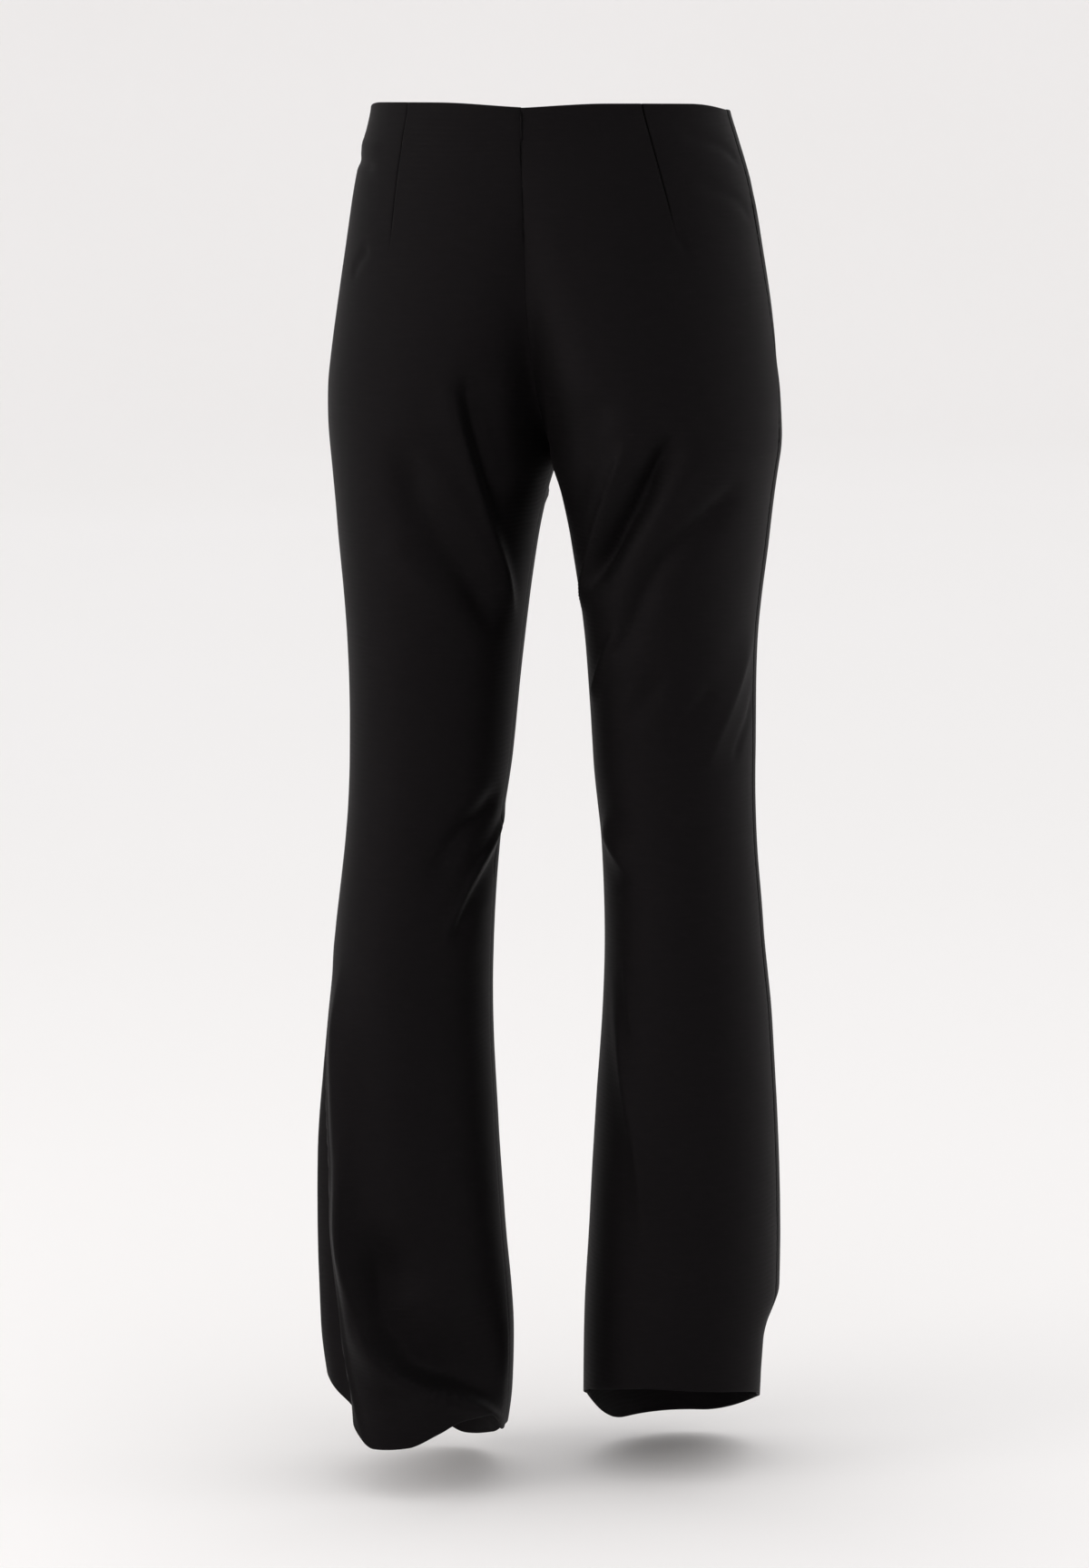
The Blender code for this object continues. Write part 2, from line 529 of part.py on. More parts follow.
def build():
    """Clear the scene, then make the four pieces of cloth and the zip."""
    for thing in list(bpy.data.objects):
        bpy.data.objects.remove(thing, do_unlink=True)
    cloth = finish_material("black_crepe")
    tape = finish_material("black_zip_tape")
    enamel = finish_material("black_enamelled_zinc")
    for side in SIDES:
        for panel in ("back", "front"):
            outer, inner = piece_grids(side, panel)
            wall_object(panel + "_" + side, outer, inner, cloth)
    for panel in ("front", "back"):
        tape_object(panel, tape)
    frame = seam_frame()
    zip_slider(frame, enamel)
    zip_pull(frame, enamel)


build()
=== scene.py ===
"""The looks of a pair of black flared trousers in stretch crepe, shaped as when worn.

Four cut pieces of cloth meet at pressed-open seams, each back has a waist dart, the waist edge
and the hems are turned in, and a concealed zip closes the left side seam.

Metres, +Z up; the origin is the middle of the waist opening, and the wearer faces -Y. The
tables are in millimetres. A place on one half of the trousers is given by two numbers:
`around` runs from 0 at the centre back (or the inseam) over 1 at the side seam to 2 at the
centre front (or the inseam again), and `height` is measured from the waist, so it is negative.
"""
import math

import bmesh
import bpy
import numpy as np
from mathutils import Matrix, Vector, noise


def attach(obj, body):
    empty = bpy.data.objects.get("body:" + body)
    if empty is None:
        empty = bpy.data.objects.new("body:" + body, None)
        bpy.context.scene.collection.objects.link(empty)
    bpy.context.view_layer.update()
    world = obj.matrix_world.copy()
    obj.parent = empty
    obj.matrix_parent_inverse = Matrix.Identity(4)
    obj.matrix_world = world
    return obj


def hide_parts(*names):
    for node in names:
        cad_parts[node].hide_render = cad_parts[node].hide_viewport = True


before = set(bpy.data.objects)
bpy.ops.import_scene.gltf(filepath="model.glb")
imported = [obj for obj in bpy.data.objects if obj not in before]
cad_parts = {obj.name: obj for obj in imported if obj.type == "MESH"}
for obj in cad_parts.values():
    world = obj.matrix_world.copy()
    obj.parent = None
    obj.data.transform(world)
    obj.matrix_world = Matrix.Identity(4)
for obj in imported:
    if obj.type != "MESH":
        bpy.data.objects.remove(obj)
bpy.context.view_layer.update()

MM = 0.001
TINY = 1e-9                 # keeps a division by a step of no length from failing
BODY = "trousers"
SIDES = {"left": 1, "right": -1}
PANELS = ("back", "front")

# ---- form, as in the solids, mm
CROTCH = -288.0             # height of the crotch point
CROTCH_AT_SIDE = -297.0     # the row through the crotch point ends here at the side seam
HEM_LEVEL = -1080.0         # mean height of the hems
HEM_RAMP = 4.0              # how quickly the rows above a hem level out
BACK_RISE = 135.0           # the back crotch curve ends this far over the crotch point
FRONT_RISE = 85.0           # and the front one this far
BACK_BEND = (1.6, 1.4)      # exponents of the back crotch curve
FRONT_BEND = (2.0, 1.7)     # and of the front one
SEAM_FOOT = 8.0             # the last stretch of the centre seam, where it runs nearly level
SEAM_STEPS = 200            # steps along the centre seam, from which its rows are spaced
ARC_STEPS = 160             # steps along a section, from which its columns are spaced
CHUNK = 6000                # points worked out at a time

# a section of one half is an ellipse, squared by its exponent (square), round the leg's axis,
# which lies apart from the midline and set_back; the midline leans sideways; inner, outer, front
# and back reach from the axis, and the halves meet at the depths of the back and front seams
SECTION_COLUMNS = ("height", "lean", "apart", "set_back", "inner", "outer",
                   "front", "back", "square", "back_seam", "front_seam")
SEAT = (
    (20, -0.2, 0, 0, 130, 142.6, 96, 104, 2.20, 104, 96),
    (0, -0.7, 0, 0, 130, 146.1, 98, 105, 2.20, 105, 98),
    (-30, -1.7, 10, 0, 118, 142.6, 102, 107, 2.20, 106.5, 101.5),
    (-60, -2.7, 20, -1, 106, 140.6, 105, 110, 2.20, 108, 104.5),
    (-120, -3.7, 38, -3, 86, 133.1, 108, 115, 2.20, 107, 105),
    (-180, -4.0, 55, -5, 78, 125.6, 109, 120, 2.20, 104, 103),
    (-220, -4.0, 66, -6, 75, 119.6, 107, 122, 2.20, 106, 101),
    (-252, -3.8, 78, -7, 79, 109.0, 103, 118, 2.15, 108, 98),
    (-288, -3.6, 90, -8, 90, 95.0, 99, 111, 2.10, 111, 96),
)
LEG_REST = (2.1, 0, 0)      # the last three sizes of every section of a leg
LEG = {
    "left": (
        (-318, -3.4, 94.5, -7, 86.0, 87.5, 97, 105),
        (-360, -3.3, 97.5, -5, 80.6, 80.5, 94, 99),
        (-450, -3.3, 99.5, 0, 71.8, 70.5, 84, 87),
        (-540, -3.3, 102.8, 4, 66.8, 65.5, 75, 78),
        (-610, -3.3, 108.5, 11, 63.8, 62.5, 71, 75),
        (-680, -3.3, 113.0, 20, 65.3, 64.0, 72, 76),
        (-760, -3.3, 115.7, 30, 69.3, 68.0, 77, 80),
        (-840, -3.3, 114.5, 38, 73.8, 72.5, 84, 83),
        (-920, -3.3, 110.8, 45, 76.8, 75.5, 92, 85),
        (-1000, -3.3, 104.5, 52, 78.8, 77.5, 98, 86),
        (-1060, -3.3, 101.0, 56, 75.5, 73.0, 102, 86),
        (-1130, -3.3, 98.0, 58, 62.0, 66.5, 104, 84),
    ),
    "right": (
        (-318, -3.4, 92.5, -10, 84.0, 87.7, 97, 105),
        (-360, -3.3, 94.2, -12, 77.6, 80.9, 94, 98),
        (-450, -3.3, 95.0, -19, 68.0, 69.9, 84, 86),
        (-540, -3.3, 96.0, -26, 65.0, 66.9, 76, 77),
        (-610, -3.3, 100.0, -28, 62.5, 64.4, 71, 74),
        (-680, -3.3, 104.3, -28, 64.0, 65.9, 73, 76),
        (-760, -3.3, 106.7, -29, 69.0, 70.9, 79, 80),
        (-840, -3.3, 106.3, -29, 74.0, 75.9, 86, 84),
        (-920, -3.3, 105.2, -30, 77.5, 79.4, 93, 86),
        (-1000, -3.3, 102.4, -31, 79.3, 81.2, 99, 87),
        (-1060, -3.3, 100.0, -32, 78.0, 79.9, 103, 86),
        (-1130, -3.3, 98.0, -33, 76.0, 77.9, 106, 84),
    ),
}
# heights of the waist edge and of the hems, at places around
TOP_EDGE = ((0, -4.5), (0.35, -1.0), (0.7, -1.5), (1, -7), (1.4, -10), (2, -12))
HEM = {
    "left": ((0, -1093), (0.06, -1090), (0.14, -1077), (0.20, -1069), (0.28, -1071), (0.36, -1081),
             (0.46, -1093), (0.58, -1096), (0.66, -1083), (0.75, -1068), (0.85, -1050), (1, -1034),
             (1.2, -1044), (1.4, -1098), (1.55, -1126), (1.68, -1119), (1.85, -1098), (2, -1091)),
    "right": ((0, -1083), (0.25, -1064), (0.5, -1055), (0.75, -1060), (1, -1075),
              (1.25, -1094), (1.5, -1118), (1.75, -1119), (2, -1083)),
}

# ---- folds, mm
# a soft fold has a round top and long sides; a crisp one has a sharp crest and a clear foot.
# rise is how far the cloth stands out (or in, where negative); inner and outer are how far its
# two sides reach, toward the inseam and toward the side seam, or upward and downward where it
# runs in toward the inseam; path is where it runs, from its top to its end, as distance along
# the cloth from the side seam (the back is negative) and height
FOLD_COLUMNS = ("kind", "rise", "inner", "outer", "path")
RIGHT_FOLDS = (
    # back: three drag lines from the seat to the inner thigh
    ("soft", 1.8, 18, 12, ((-168, -212), (-173, -249), (-176, -281), (-181, -310), (-188, -344),
     (-204, -385))),
    ("crisp", 6.0, 6, 17, ((-174, -262), (-179, -302), (-188, -344), (-196, -366), (-205, -388),
     (-222, -420))),
    ("soft", -2.5, 15, 10, ((-188, -222), (-200, -262), (-207, -302), (-226, -340))),
    ("soft", -14.0, 11, 16, ((-132, -250), (-145, -292), (-155, -322), (-170, -352), (-181, -369),
     (-196, -394))),
    ("crisp", -3.4, 10, 12, ((-142, -276), (-152, -316), (-170, -352), (-181, -369), (-200, -400))),
    ("soft", 2.2, 10, 12, ((-118, -276), (-134, -319), (-147, -342), (-158, -363), (-176, -392))),
    ("soft", -5.0, 10, 13, ((-60, -298), (-89, -328), (-123, -363), (-137, -396), (-145, -429),
     (-153, -460))),
    ("crisp", -2.0, 11, 13, ((-66, -304), (-108, -345), (-123, -363), (-136, -390), (-145, -429),
     (-152, -452))),
    ("crisp", 2.8, 4, 12, ((-150, -416), (-164, -438), (-180, -465), (-198, -492))),
    # back: slacker ones down to the knee
    ("soft", -2.4, 9, 10, ((-110, -452), (-117, -467), (-126, -484), (-140, -508))),
    ("soft", -1.8, 6, 7, ((-64, -468), (-76, -482), (-89, -497), (-106, -522))),
    ("soft", 1.9, 15, 10, ((-2, -424), (-36, -471), (-61, -516), (-76, -552))),
    ("crisp", 0.8, 9, 5, ((-17, -443), (-50, -496), (-61, -516), (-74, -546))),
    ("soft", -1.2, 5, 5, ((0, -478), (-18, -503), (-29, -515), (-44, -540))),
    ("soft", 2.8, 10, 14, ((-182, -590), (-161, -606), (-135, -632))),
    ("crisp", 0.9, 4, 8, ((-176, -596), (-160, -610), (-147, -620), (-130, -640))),
    ("soft", 2.0, 9, 13, ((-170, -700), (-168, -757), (-162, -810), (-152, -864), (-148, -930),
     (-146, -980))),
    ("crisp", 1.0, 5, 9, ((-168, -740), (-165, -789), (-157, -838), (-150, -880), (-148, -930))),
    ("crisp", 0.8, 5, 7, ((-154, -700), (-153, -740), (-147, -775))),
    ("soft", -1.8, 24, 24, ((-92, -640), (-97, -742), (-103, -830), (-103, -931), (-102, -1000))),
    # back: the tip of the dart, and where the waist sits
    ("soft", -1.3, 5, 5, ((-110, -101), (-105, -112), (-99, -123))),
    ("soft", -1.3, 5, 5, ((-7, -52), (-43, -34), (-85, -24))),
    ("soft", -1.1, 6, 6, ((-9, -96), (-46, -74), (-86, -62))),
    # back: the side seam turns in at the hem
    ("soft", -13.0, 44, 44, ((26, -985), (26, -1060), (26, -1160))),
    # front: the hip, drag lines from the crotch, the knee and the break over the instep
    ("soft", -0.9, 6, 6, ((11, -70), (62, -80), (110, -72))),
    ("soft", -3.5, 12, 12, ((128, -228), (177, -256), (270, -288))),
    ("crisp", -2.0, 8, 8, ((144, -240), (197, -268), (284, -290))),
    ("soft", 3.0, 12, 12, ((125, -300), (189, -326), (252, -346))),
    ("crisp", 1.8, 5, 10, ((160, -304), (207, -326), (266, -344))),
    ("soft", -4.0, 16, 16, ((59, -536), (115, -560), (179, -548))),
    ("crisp", -1.4, 12, 12, ((71, -552), (114, -570), (163, -562))),
    ("soft", 1.4, 8, 8, ((73, -600), (119, -614), (166, -606))),
    ("soft", -7.0, 26, 20, ((57, -990), (143, -1016), (234, -1004))),
    ("crisp", -2.4, 16, 12, ((80, -998), (144, -1022), (217, -1010))),
    ("soft", 1.8, 8, 8, ((92, -1034), (145, -1056), (214, -1046))),
)
LEFT_FOLDS = (
    # back: the long edge and the hollow under the seat
    ("soft", -8.5, 20, 9, ((-214, -204), (-216, -240), (-220, -290), (-228, -335))),
    ("crisp", 7.0, 17, 30, ((-202, -212), (-204, -239), (-207, -270), (-209, -323), (-217, -358),
     (-226, -394), (-238, -430))),
    ("soft", 1.8, 6, 6, ((-217, -216), (-224, -244), (-230, -286), (-236, -310))),
    ("soft", -6.4, 14, 15, ((-156, -262), (-156, -313), (-164, -338), (-178, -367), (-197, -409),
     (-206, -440))),
    ("soft", 2.2, 9, 10, ((-180, -280), (-190, -324), (-202, -360), (-214, -398))),
    ("soft", 2.2, 12, 13, ((-118, -345), (-140, -370), (-155, -395), (-168, -424))),
    # back: the knee, with one crisp line from the inseam
    ("soft", -5.4, 9, 11, ((-212, -562), (-186, -580), (-162, -595), (-146, -617), (-138, -640))),
    ("crisp", 3.4, 15, 5, ((-246, -578), (-217, -597), (-192, -616), (-174, -637), (-158, -670),
     (-152, -690))),
    ("soft", -3.0, 14, 6, ((-228, -612), (-194, -636), (-174, -660), (-163, -694))),
    # back: where the waist sits, and the hip
    ("soft", -1.4, 6, 6, ((-76, -142), (-86, -128), (-97, -116))),
    ("soft", -1.7, 4, 4, ((-7, -48), (-44, -50), (-85, -56))),
    ("soft", 1.0, 5, 5, ((-6, -34), (-43, -36), (-87, -40))),
    # back: the pleat that stands at the outside of the calf
    ("soft", -13.0, 12, 16, ((-20, -690), (-42, -790), (-60, -880), (-65, -960), (-68, -1050),
     (-66, -1160))),
    ("soft", 6.5, 16, 22, ((-66, -690), (-84, -800), (-95, -900), (-101, -966), (-112, -1030),
     (-124, -1110))),
    ("crisp", 4.6, 15, 24, ((-58, -690), (-78, -800), (-90, -880), (-95, -931), (-101, -966),
     (-112, -1010))),
    ("crisp", 2.8, 5, 4, ((-56, -740), (-66, -815), (-77, -878), (-82, -940), (-85, -1015), (-90, -1060),
     (-100, -1110))),
    ("soft", 1.0, 5, 5, ((-17, -800), (-33, -880), (-36, -980), (-33, -1080))),
    ("soft", -1.0, 5, 5, ((-7, -840), (-18, -930), (-18, -1080))),
    # back: the hem's scoop, a hollow over a crest that runs in to the inseam
    ("soft", -19.0, 50, 12, ((-118, -900), (-114, -984), (-131, -1006), (-152, -1024), (-180, -1034),
     (-212, -1048), (-240, -1062))),
    ("crisp", 9.5, 13, 24, ((-90, -850), (-97, -940), (-104, -978), (-112, -1008), (-136, -1036),
     (-168, -1051), (-199, -1065), (-224, -1078), (-256, -1092))),
    ("soft", 6.0, 40, 60, ((-170, -1030), (-188, -1075), (-200, -1130))),
    # front: the hip, drag lines from the crotch, the knee and the break over the instep
    ("soft", -0.9, 6, 6, ((13, -58), (66, -70), (114, -64))),
    ("soft", -3.5, 12, 12, ((135, -222), (180, -252), (260, -286))),
    ("crisp", -2.0, 8, 8, ((148, -232), (199, -262), (286, -288))),
    ("soft", 3.0, 12, 12, ((130, -286), (198, -318), (257, -336))),
    ("crisp", 1.8, 5, 10, ((170, -288), (223, -314), (276, -330))),
    ("soft", -4.0, 16, 16, ((68, -520), (112, -544), (172, -530))),
    ("crisp", -1.4, 12, 12, ((81, -536), (115, -552), (156, -546))),
    ("soft", 1.4, 8, 8, ((86, -584), (124, -600), (171, -590))),
    ("soft", -7.0, 26, 20, ((60, -960), (140, -1000), (225, -1006))),
    ("crisp", -2.4, 16, 12, ((83, -974), (140, -1004), (208, -1008))),
    ("soft", 1.8, 8, 8, ((96, -1022), (146, -1046), (203, -1044))),
)
FOLDS = {"right": RIGHT_FOLDS, "left": LEFT_FOLDS}
FOLD_STEPS = 24             # points along a fold's path
FOLD_END = 0.24             # share of a fold's length over which it fades in or out
SOFT_EDGE = 3.2             # a soft fold is worked out up to this many reaches from its path
CREST = 1.2                 # radius of a crisp fold's crest
MIDLINE_FADE = 22.0         # folds fade out this close to the centre back and centre front
FADE_BELOW_CROTCH = 12.0    # and still do so this far under the crotch
OPEN_ROW = 1e6              # stands for the girth of a row that doesn't close on one leg

# ---- darts, mm
# each back's dart is one stitched line; its take-up is pressed toward the centre back
DARTS = {
    "left": ((0.505, 46), (0.505, -4), (0.50, -64), (0.49, -126)),
    "right": ((0.475, 46), (0.485, -4), (0.50, -34), (0.515, -66), (0.535, -102), (0.545, -112)),
}
DART_DEPTH = {"left": 1.1, "right": 1.8}
DART_HALF = 0.8             # half the groove's width
DART_SHELF = (0.6, 4.0)     # the cloth over the take-up stands this proud, over this width
DART_COLUMNS = (0.4, 0.9, 1.6, 2.6, 4.2)    # the grid's columns beside the stitched line
DART_WIDTH = 300            # rough width of a back, which turns those columns into shares
DART_CLEAR = 0.004          # share of a back that stays free of other columns beyond them
DART_PULL = 0.12            # columns this share of a piece away still bend with the dart

# ---- cut edges, mm
CLOTH = 0.45                # thickness of the crepe
SEAM_ALLOWANCE = 12.0       # pressed open behind a seam
WAIST_ALLOWANCE = 26.0      # turned in at the waist
HEM_ALLOWANCE = 36.0        # turned up at a hem
# from the body of a piece to its turned edge: distance from the edge line, then how far the
# cloth has gone under by then, first on the outside and then on the way back
EDGE_TURN = ((0.03, 0.60, 0.60), (0.12, 0.28, 0.90), (0.45, 0.07, 1.10), (1.2, 0.0, 1.16))
UNDER = 1.16                # depth of an allowance under the face of the cloth
OVER_SEAM = 0.75            # a turned hem passes this much deeper over pressed-open seams
OVER_SEAM_RAMP = 3          # and goes down to that within this many columns
SEAM_SINK = (0.35, 2.4)     # the cloth dips this deep beside a seam, over this width
SEAM_PUCKER = (0.10, 9.0)   # and that dip comes and goes by this much, over this length
SEAM_WANDER = (2.4, 41.0)   # its waves shift by this many radians, over this length
BACK_SEAM_SHELF = (0.5, 3.5)  # the right back stands this proud beside the centre back seam

# ---- grid of a piece
SEAM_COLUMNS = tuple(turn[0] for turn in EDGE_TURN) + (2.4, 4.2, 7.0, SEAM_ALLOWANCE)
WAIST_ROWS = tuple(turn[0] for turn in EDGE_TURN) + (3.0, 6.0, 10.0, 15.0, 20.0, WAIST_ALLOWANCE)
HEM_ROWS = tuple(turn[0] for turn in EDGE_TURN) + (2.4, 4.5, 7.5, 11.0, 16.0, 22.0, 29.0, HEM_ALLOWANCE)
INNER_COLUMNS = {"back": 104, "front": 66}
SEAT_ROWS = 84
LEG_ROWS = 216
DRIFT = (0.22, 60.0)        # slow unevenness of worn cloth: height, length
RIPPLE = (0.06, 17.0)       # and a finer one

# ---- zip in the left side seam, mm
PULL_HEIGHT = -14.0         # where the pull hangs
SLOT = (0.85, 4.5)          # the seam opens this far on each side of the loop, over this height
SLOT_FADE = 4.0             # and the cloth beside it gives way over this distance
TAPE_FROM = 1.5             # from the seam to a tape's near edge
TAPE_WIDE = 14.0
TAPE_UNDER = 1.9            # from the face of the cloth to a tape
TAPE_THICK = 0.6
TAPE_TOP = -10.5
TAPE_END = -206.0
TAPE_ROWS = 60
TAPE_COLUMNS = 8
BESIDE_SEAM = 0.02          # a place this far around from the seam is on a tape's own side
TOOTH_PITCH = 1.3
TOOTH_UNDER = 3.3           # from the face of the cloth to the middle of the teeth
TOOTH = (1.875, 0.75, 0.62)  # across, in depth and along the seam
TOOTH_OFF = 0.48            # from the seam to the middle of a tooth
TOOTH_FACES = (8, 5)        # around it and from end to end
TEETH_TOP = -19.0

# ---- view and light
AZIMUTH = math.radians(193.0)
ELEVATION = math.radians(7.69)
DISTANCE = 4.642
LENS = 128.94
SENSOR = 36.0
TARGET = Vector((0.003654, 0.000844, -0.561))
FLOOR = -1.138              # under the heels that the hems hang over
# softboxes: angle from the camera's direction, seen from above, and watts
SOFTBOXES = (("key_left", -60, 26.0), ("side_left", -90, 6.0), ("rim_left", -120, 0.8),
             ("fill_left", -20, 2.8), ("fill_right", 20, 1.1), ("side_right", 90, 8.6))
SOFTBOX_FAR = 3.0
SOFTBOX_UP = Vector((0, 0, 0.5))
SOFTBOX_AIM = Vector((0, 0, -0.55))
SOFTBOX_SIZE = (1.4, 2.2)
SOFTBOX_COLOUR = "#FFFBF8"
SKY = {"Color": "#FFFFFF", "Strength": 0.98}    # even light from all round
STUDIO = {"radius": 12.0, "cove": 3.0, "cove_steps": 12, "wall": 5.0, "steps": 96, "merge": 0.0001}


# ==== form
def smooth_curve(places, values, at):
    """A smooth curve through a table's points that doesn't swing past them."""
    places = np.asarray(places, float)
    values = np.asarray(values, float)
    steps = np.diff(places)
    slopes = np.diff(values) / steps
    before = slopes[:-1]
    after = slopes[1:]
    same_way = before * after > 0
    weight_before = 2 * steps[1:] + steps[:-1]
    weight_after = steps[1:] + 2 * steps[:-1]
    safe_before = np.where(same_way, before, 1.0)
    safe_after = np.where(same_way, after, 1.0)
    mean = (weight_before + weight_after) / (weight_before / safe_before + weight_after / safe_after)
    tangents = np.concatenate((slopes[:1], np.where(same_way, mean, 0.0), slopes[-1:]))
    at = np.clip(at, places[0], places[-1])
    k = np.clip(np.searchsorted(places, at, side="right") - 1, 0, len(steps) - 1)
    t = (at - places[k]) / steps[k]
    return ((1 + 2 * t) * (1 - t) ** 2 * values[k] + t * (1 - t) ** 2 * steps[k] * tangents[k]
            + t * t * (3 - 2 * t) * values[k + 1] + t * t * (t - 1) * steps[k] * tangents[k + 1])


def smooth_step(t):
    """Rises from 0 to 1 with level ends."""
    t = np.clip(t, 0, 1)
    return t * t * (3 - 2 * t)


def unit(vectors):
    """The same directions at length one."""
    return vectors / np.linalg.norm(vectors, axis=-1, keepdims=True)


def section_sizes(side, height):
    """The section's sizes at each height, one array for each named column."""
    leg = tuple(row + LEG_REST for row in LEG[side])
    rows = np.array(SEAT + leg, float)[::-1]
    columns = dict(zip(SECTION_COLUMNS, rows.T))
    return {name: smooth_curve(rows[:, 0], column, height) for name, column in columns.items()}


def crotch_share(height, is_back):
    """Share of the seat seam's depth that the crotch curve has reached at a height."""
    rise = np.where(is_back, BACK_RISE, FRONT_RISE)
    power = np.where(is_back, BACK_BEND[0], FRONT_BEND[0])
    root = np.where(is_back, BACK_BEND[1], FRONT_BEND[1])
    up = np.clip((height - CROTCH) / rise, 0, 1)
    return (1 - (1 - up) ** power) ** (1 / root)


def form_chunk(side, around, height):
    """Points of the smooth form, and the length of cloth from seam to seam there."""
    is_back = around <= 1
    sizes = section_sizes(side, height)
    power = 2 / sizes["square"][:, None]
    depth = np.where(is_back, sizes["back"], sizes["front"])
    seam = np.where(is_back, sizes["back_seam"], sizes["front_seam"])
    over_crotch = (height > CROTCH)[:, None]
    share = np.clip(seam / depth * crotch_share(height, is_back), 0, 1)[:, None]
    start = np.where(over_crotch, np.arcsin(share ** (1 / power)), 0)
    even = np.linspace(0, 1, ARC_STEPS)[None, :]
    close_first = even * even * (2 - even)      # over the crotch the first steps are the shortest
    turn = start + (math.pi - start) * np.where(over_crotch, close_first, even)
    cosine = np.cos(turn)
    reach = np.where(cosine > 0, sizes["inner"][:, None], sizes["outer"][:, None])
    out = sizes["apart"][:, None] - np.sign(cosine) * np.abs(cosine) ** power * reach
    out = np.where(over_crotch, np.clip(out, 0, None), out)     # no piece passes the midline
    deep = depth[:, None] * np.abs(np.sin(turn)) ** power
    midline = out[:, :1] * over_crotch
    out = np.sqrt(np.clip(out ** 2 - midline ** 2, 0, None))
    steps = np.hypot(np.diff(out, axis=1), np.diff(deep, axis=1))
    length = np.hstack((np.zeros((len(out), 1)), np.cumsum(steps, axis=1)))
    from_centre = np.where(is_back, around, 2 - around)
    wanted = from_centre * length[:, -1]
    k = np.clip(np.sum(length <= wanted[:, None], axis=1) - 1, 0, ARC_STEPS - 2)
    row = np.arange(len(out))
    part = (wanted - length[row, k]) / np.maximum(steps[row, k], TINY)
    x = out[row, k] + part * (out[row, k + 1] - out[row, k])
    y = deep[row, k] + part * (deep[row, k + 1] - deep[row, k])
    points = np.stack((sizes["lean"] + SIDES[side] * x,
                       sizes["set_back"] + np.where(is_back, y, -y),
                       height), axis=-1)
    return points, length[:, -1]


def smooth_form(side, around, height):
    """form_chunk for arrays of any shape, in parts that fit the memory."""
    around, height = np.broadcast_arrays(np.asarray(around, float), np.asarray(height, float))
    shape = around.shape
    around = around.ravel()
    height = height.ravel()
    points = np.empty((len(around), 3))
    length = np.empty(len(around))
    for first in range(0, len(around), CHUNK):
        part = slice(first, first + CHUNK)
        points[part], length[part] = form_chunk(side, around[part], height[part])
    return points.reshape(shape + (3,)), length.reshape(shape)


def seam_rows(side, is_back, share):
    """Heights of the seat's rows along the centre seam, evenly spread over its length."""
    top = smooth_curve(*zip(*TOP_EDGE), 0.0 if is_back else 2.0) - WAIST_ALLOWANCE
    upper = np.linspace(top, CROTCH + SEAM_FOOT, SEAM_STEPS)
    foot = CROTCH + SEAM_FOOT * np.linspace(1, 0, SEAM_STEPS)[1:] ** 2
    heights = np.concatenate((upper, foot))
    sizes = section_sizes(side, heights)
    seam = sizes["back_seam"] if is_back else sizes["front_seam"]
    deep = seam * crotch_share(heights, is_back)
    length = np.concatenate(([0], np.cumsum(np.hypot(np.diff(heights), np.diff(deep)))))
    return np.interp(share * length[-1], length, heights)


def row_heights(side, around):
    """Heights of every row, from the waist edge to the hem, at each row's places around."""
    waist_end = len(WAIST_ROWS)
    seat_end = waist_end + SEAT_ROWS
    leg_end = seat_end + LEG_ROWS
    around = np.broadcast_to(around, (leg_end + len(HEM_ROWS) - 1, around.shape[-1]))
    top = smooth_curve(*zip(*TOP_EDGE), around)
    hem = smooth_curve(*zip(*HEM[side]), around)
    centred = np.abs(around - 1) ** 2
    height = np.empty(around.shape)
    height[:waist_end] = top[:waist_end] - np.array(WAIST_ROWS)[:, None]
    share = np.linspace(0, 1, SEAT_ROWS + 1)[1:]
    seat = slice(waist_end, seat_end)
    under_waist = top[seat] - WAIST_ALLOWANCE
    at_side = under_waist + (CROTCH_AT_SIDE - under_waist) * share[:, None]
    back_seam = seam_rows(side, True, share)[:, None]
    front_seam = seam_rows(side, False, share)[:, None]
    at_seam = np.where(around[seat] <= 1, back_seam, front_seam)
    height[seat] = at_side + (at_seam - at_side) * centred[seat]
    leg = slice(seat_end, leg_end)
    way = np.linspace(0, 1, LEG_ROWS + 1)[1:, None]
    start = CROTCH_AT_SIDE + (CROTCH - CROTCH_AT_SIDE) * centred[leg]
    end = HEM_LEVEL + HEM_ALLOWANCE
    height[leg] = start + (end - start) * way + (hem[leg] - HEM_LEVEL) * way ** HEM_RAMP
    height[leg_end:] = hem[leg_end:] + np.array(HEM_ROWS)[-2::-1, None]
    return height


# ==== relief
def girth_of(side, height):
    """The whole girth of a leg at each height, or more than any distance over the crotch."""
    levels = np.linspace(LEG[side][-1][0], CROTCH, SEAM_STEPS)
    _, back_length = smooth_form(side, 0.5, levels)
    _, front_length = smooth_form(side, 1.5, levels)
    girth = np.interp(height, levels, back_length + front_length)
    return np.where(height < CROTCH, girth, OPEN_ROW)


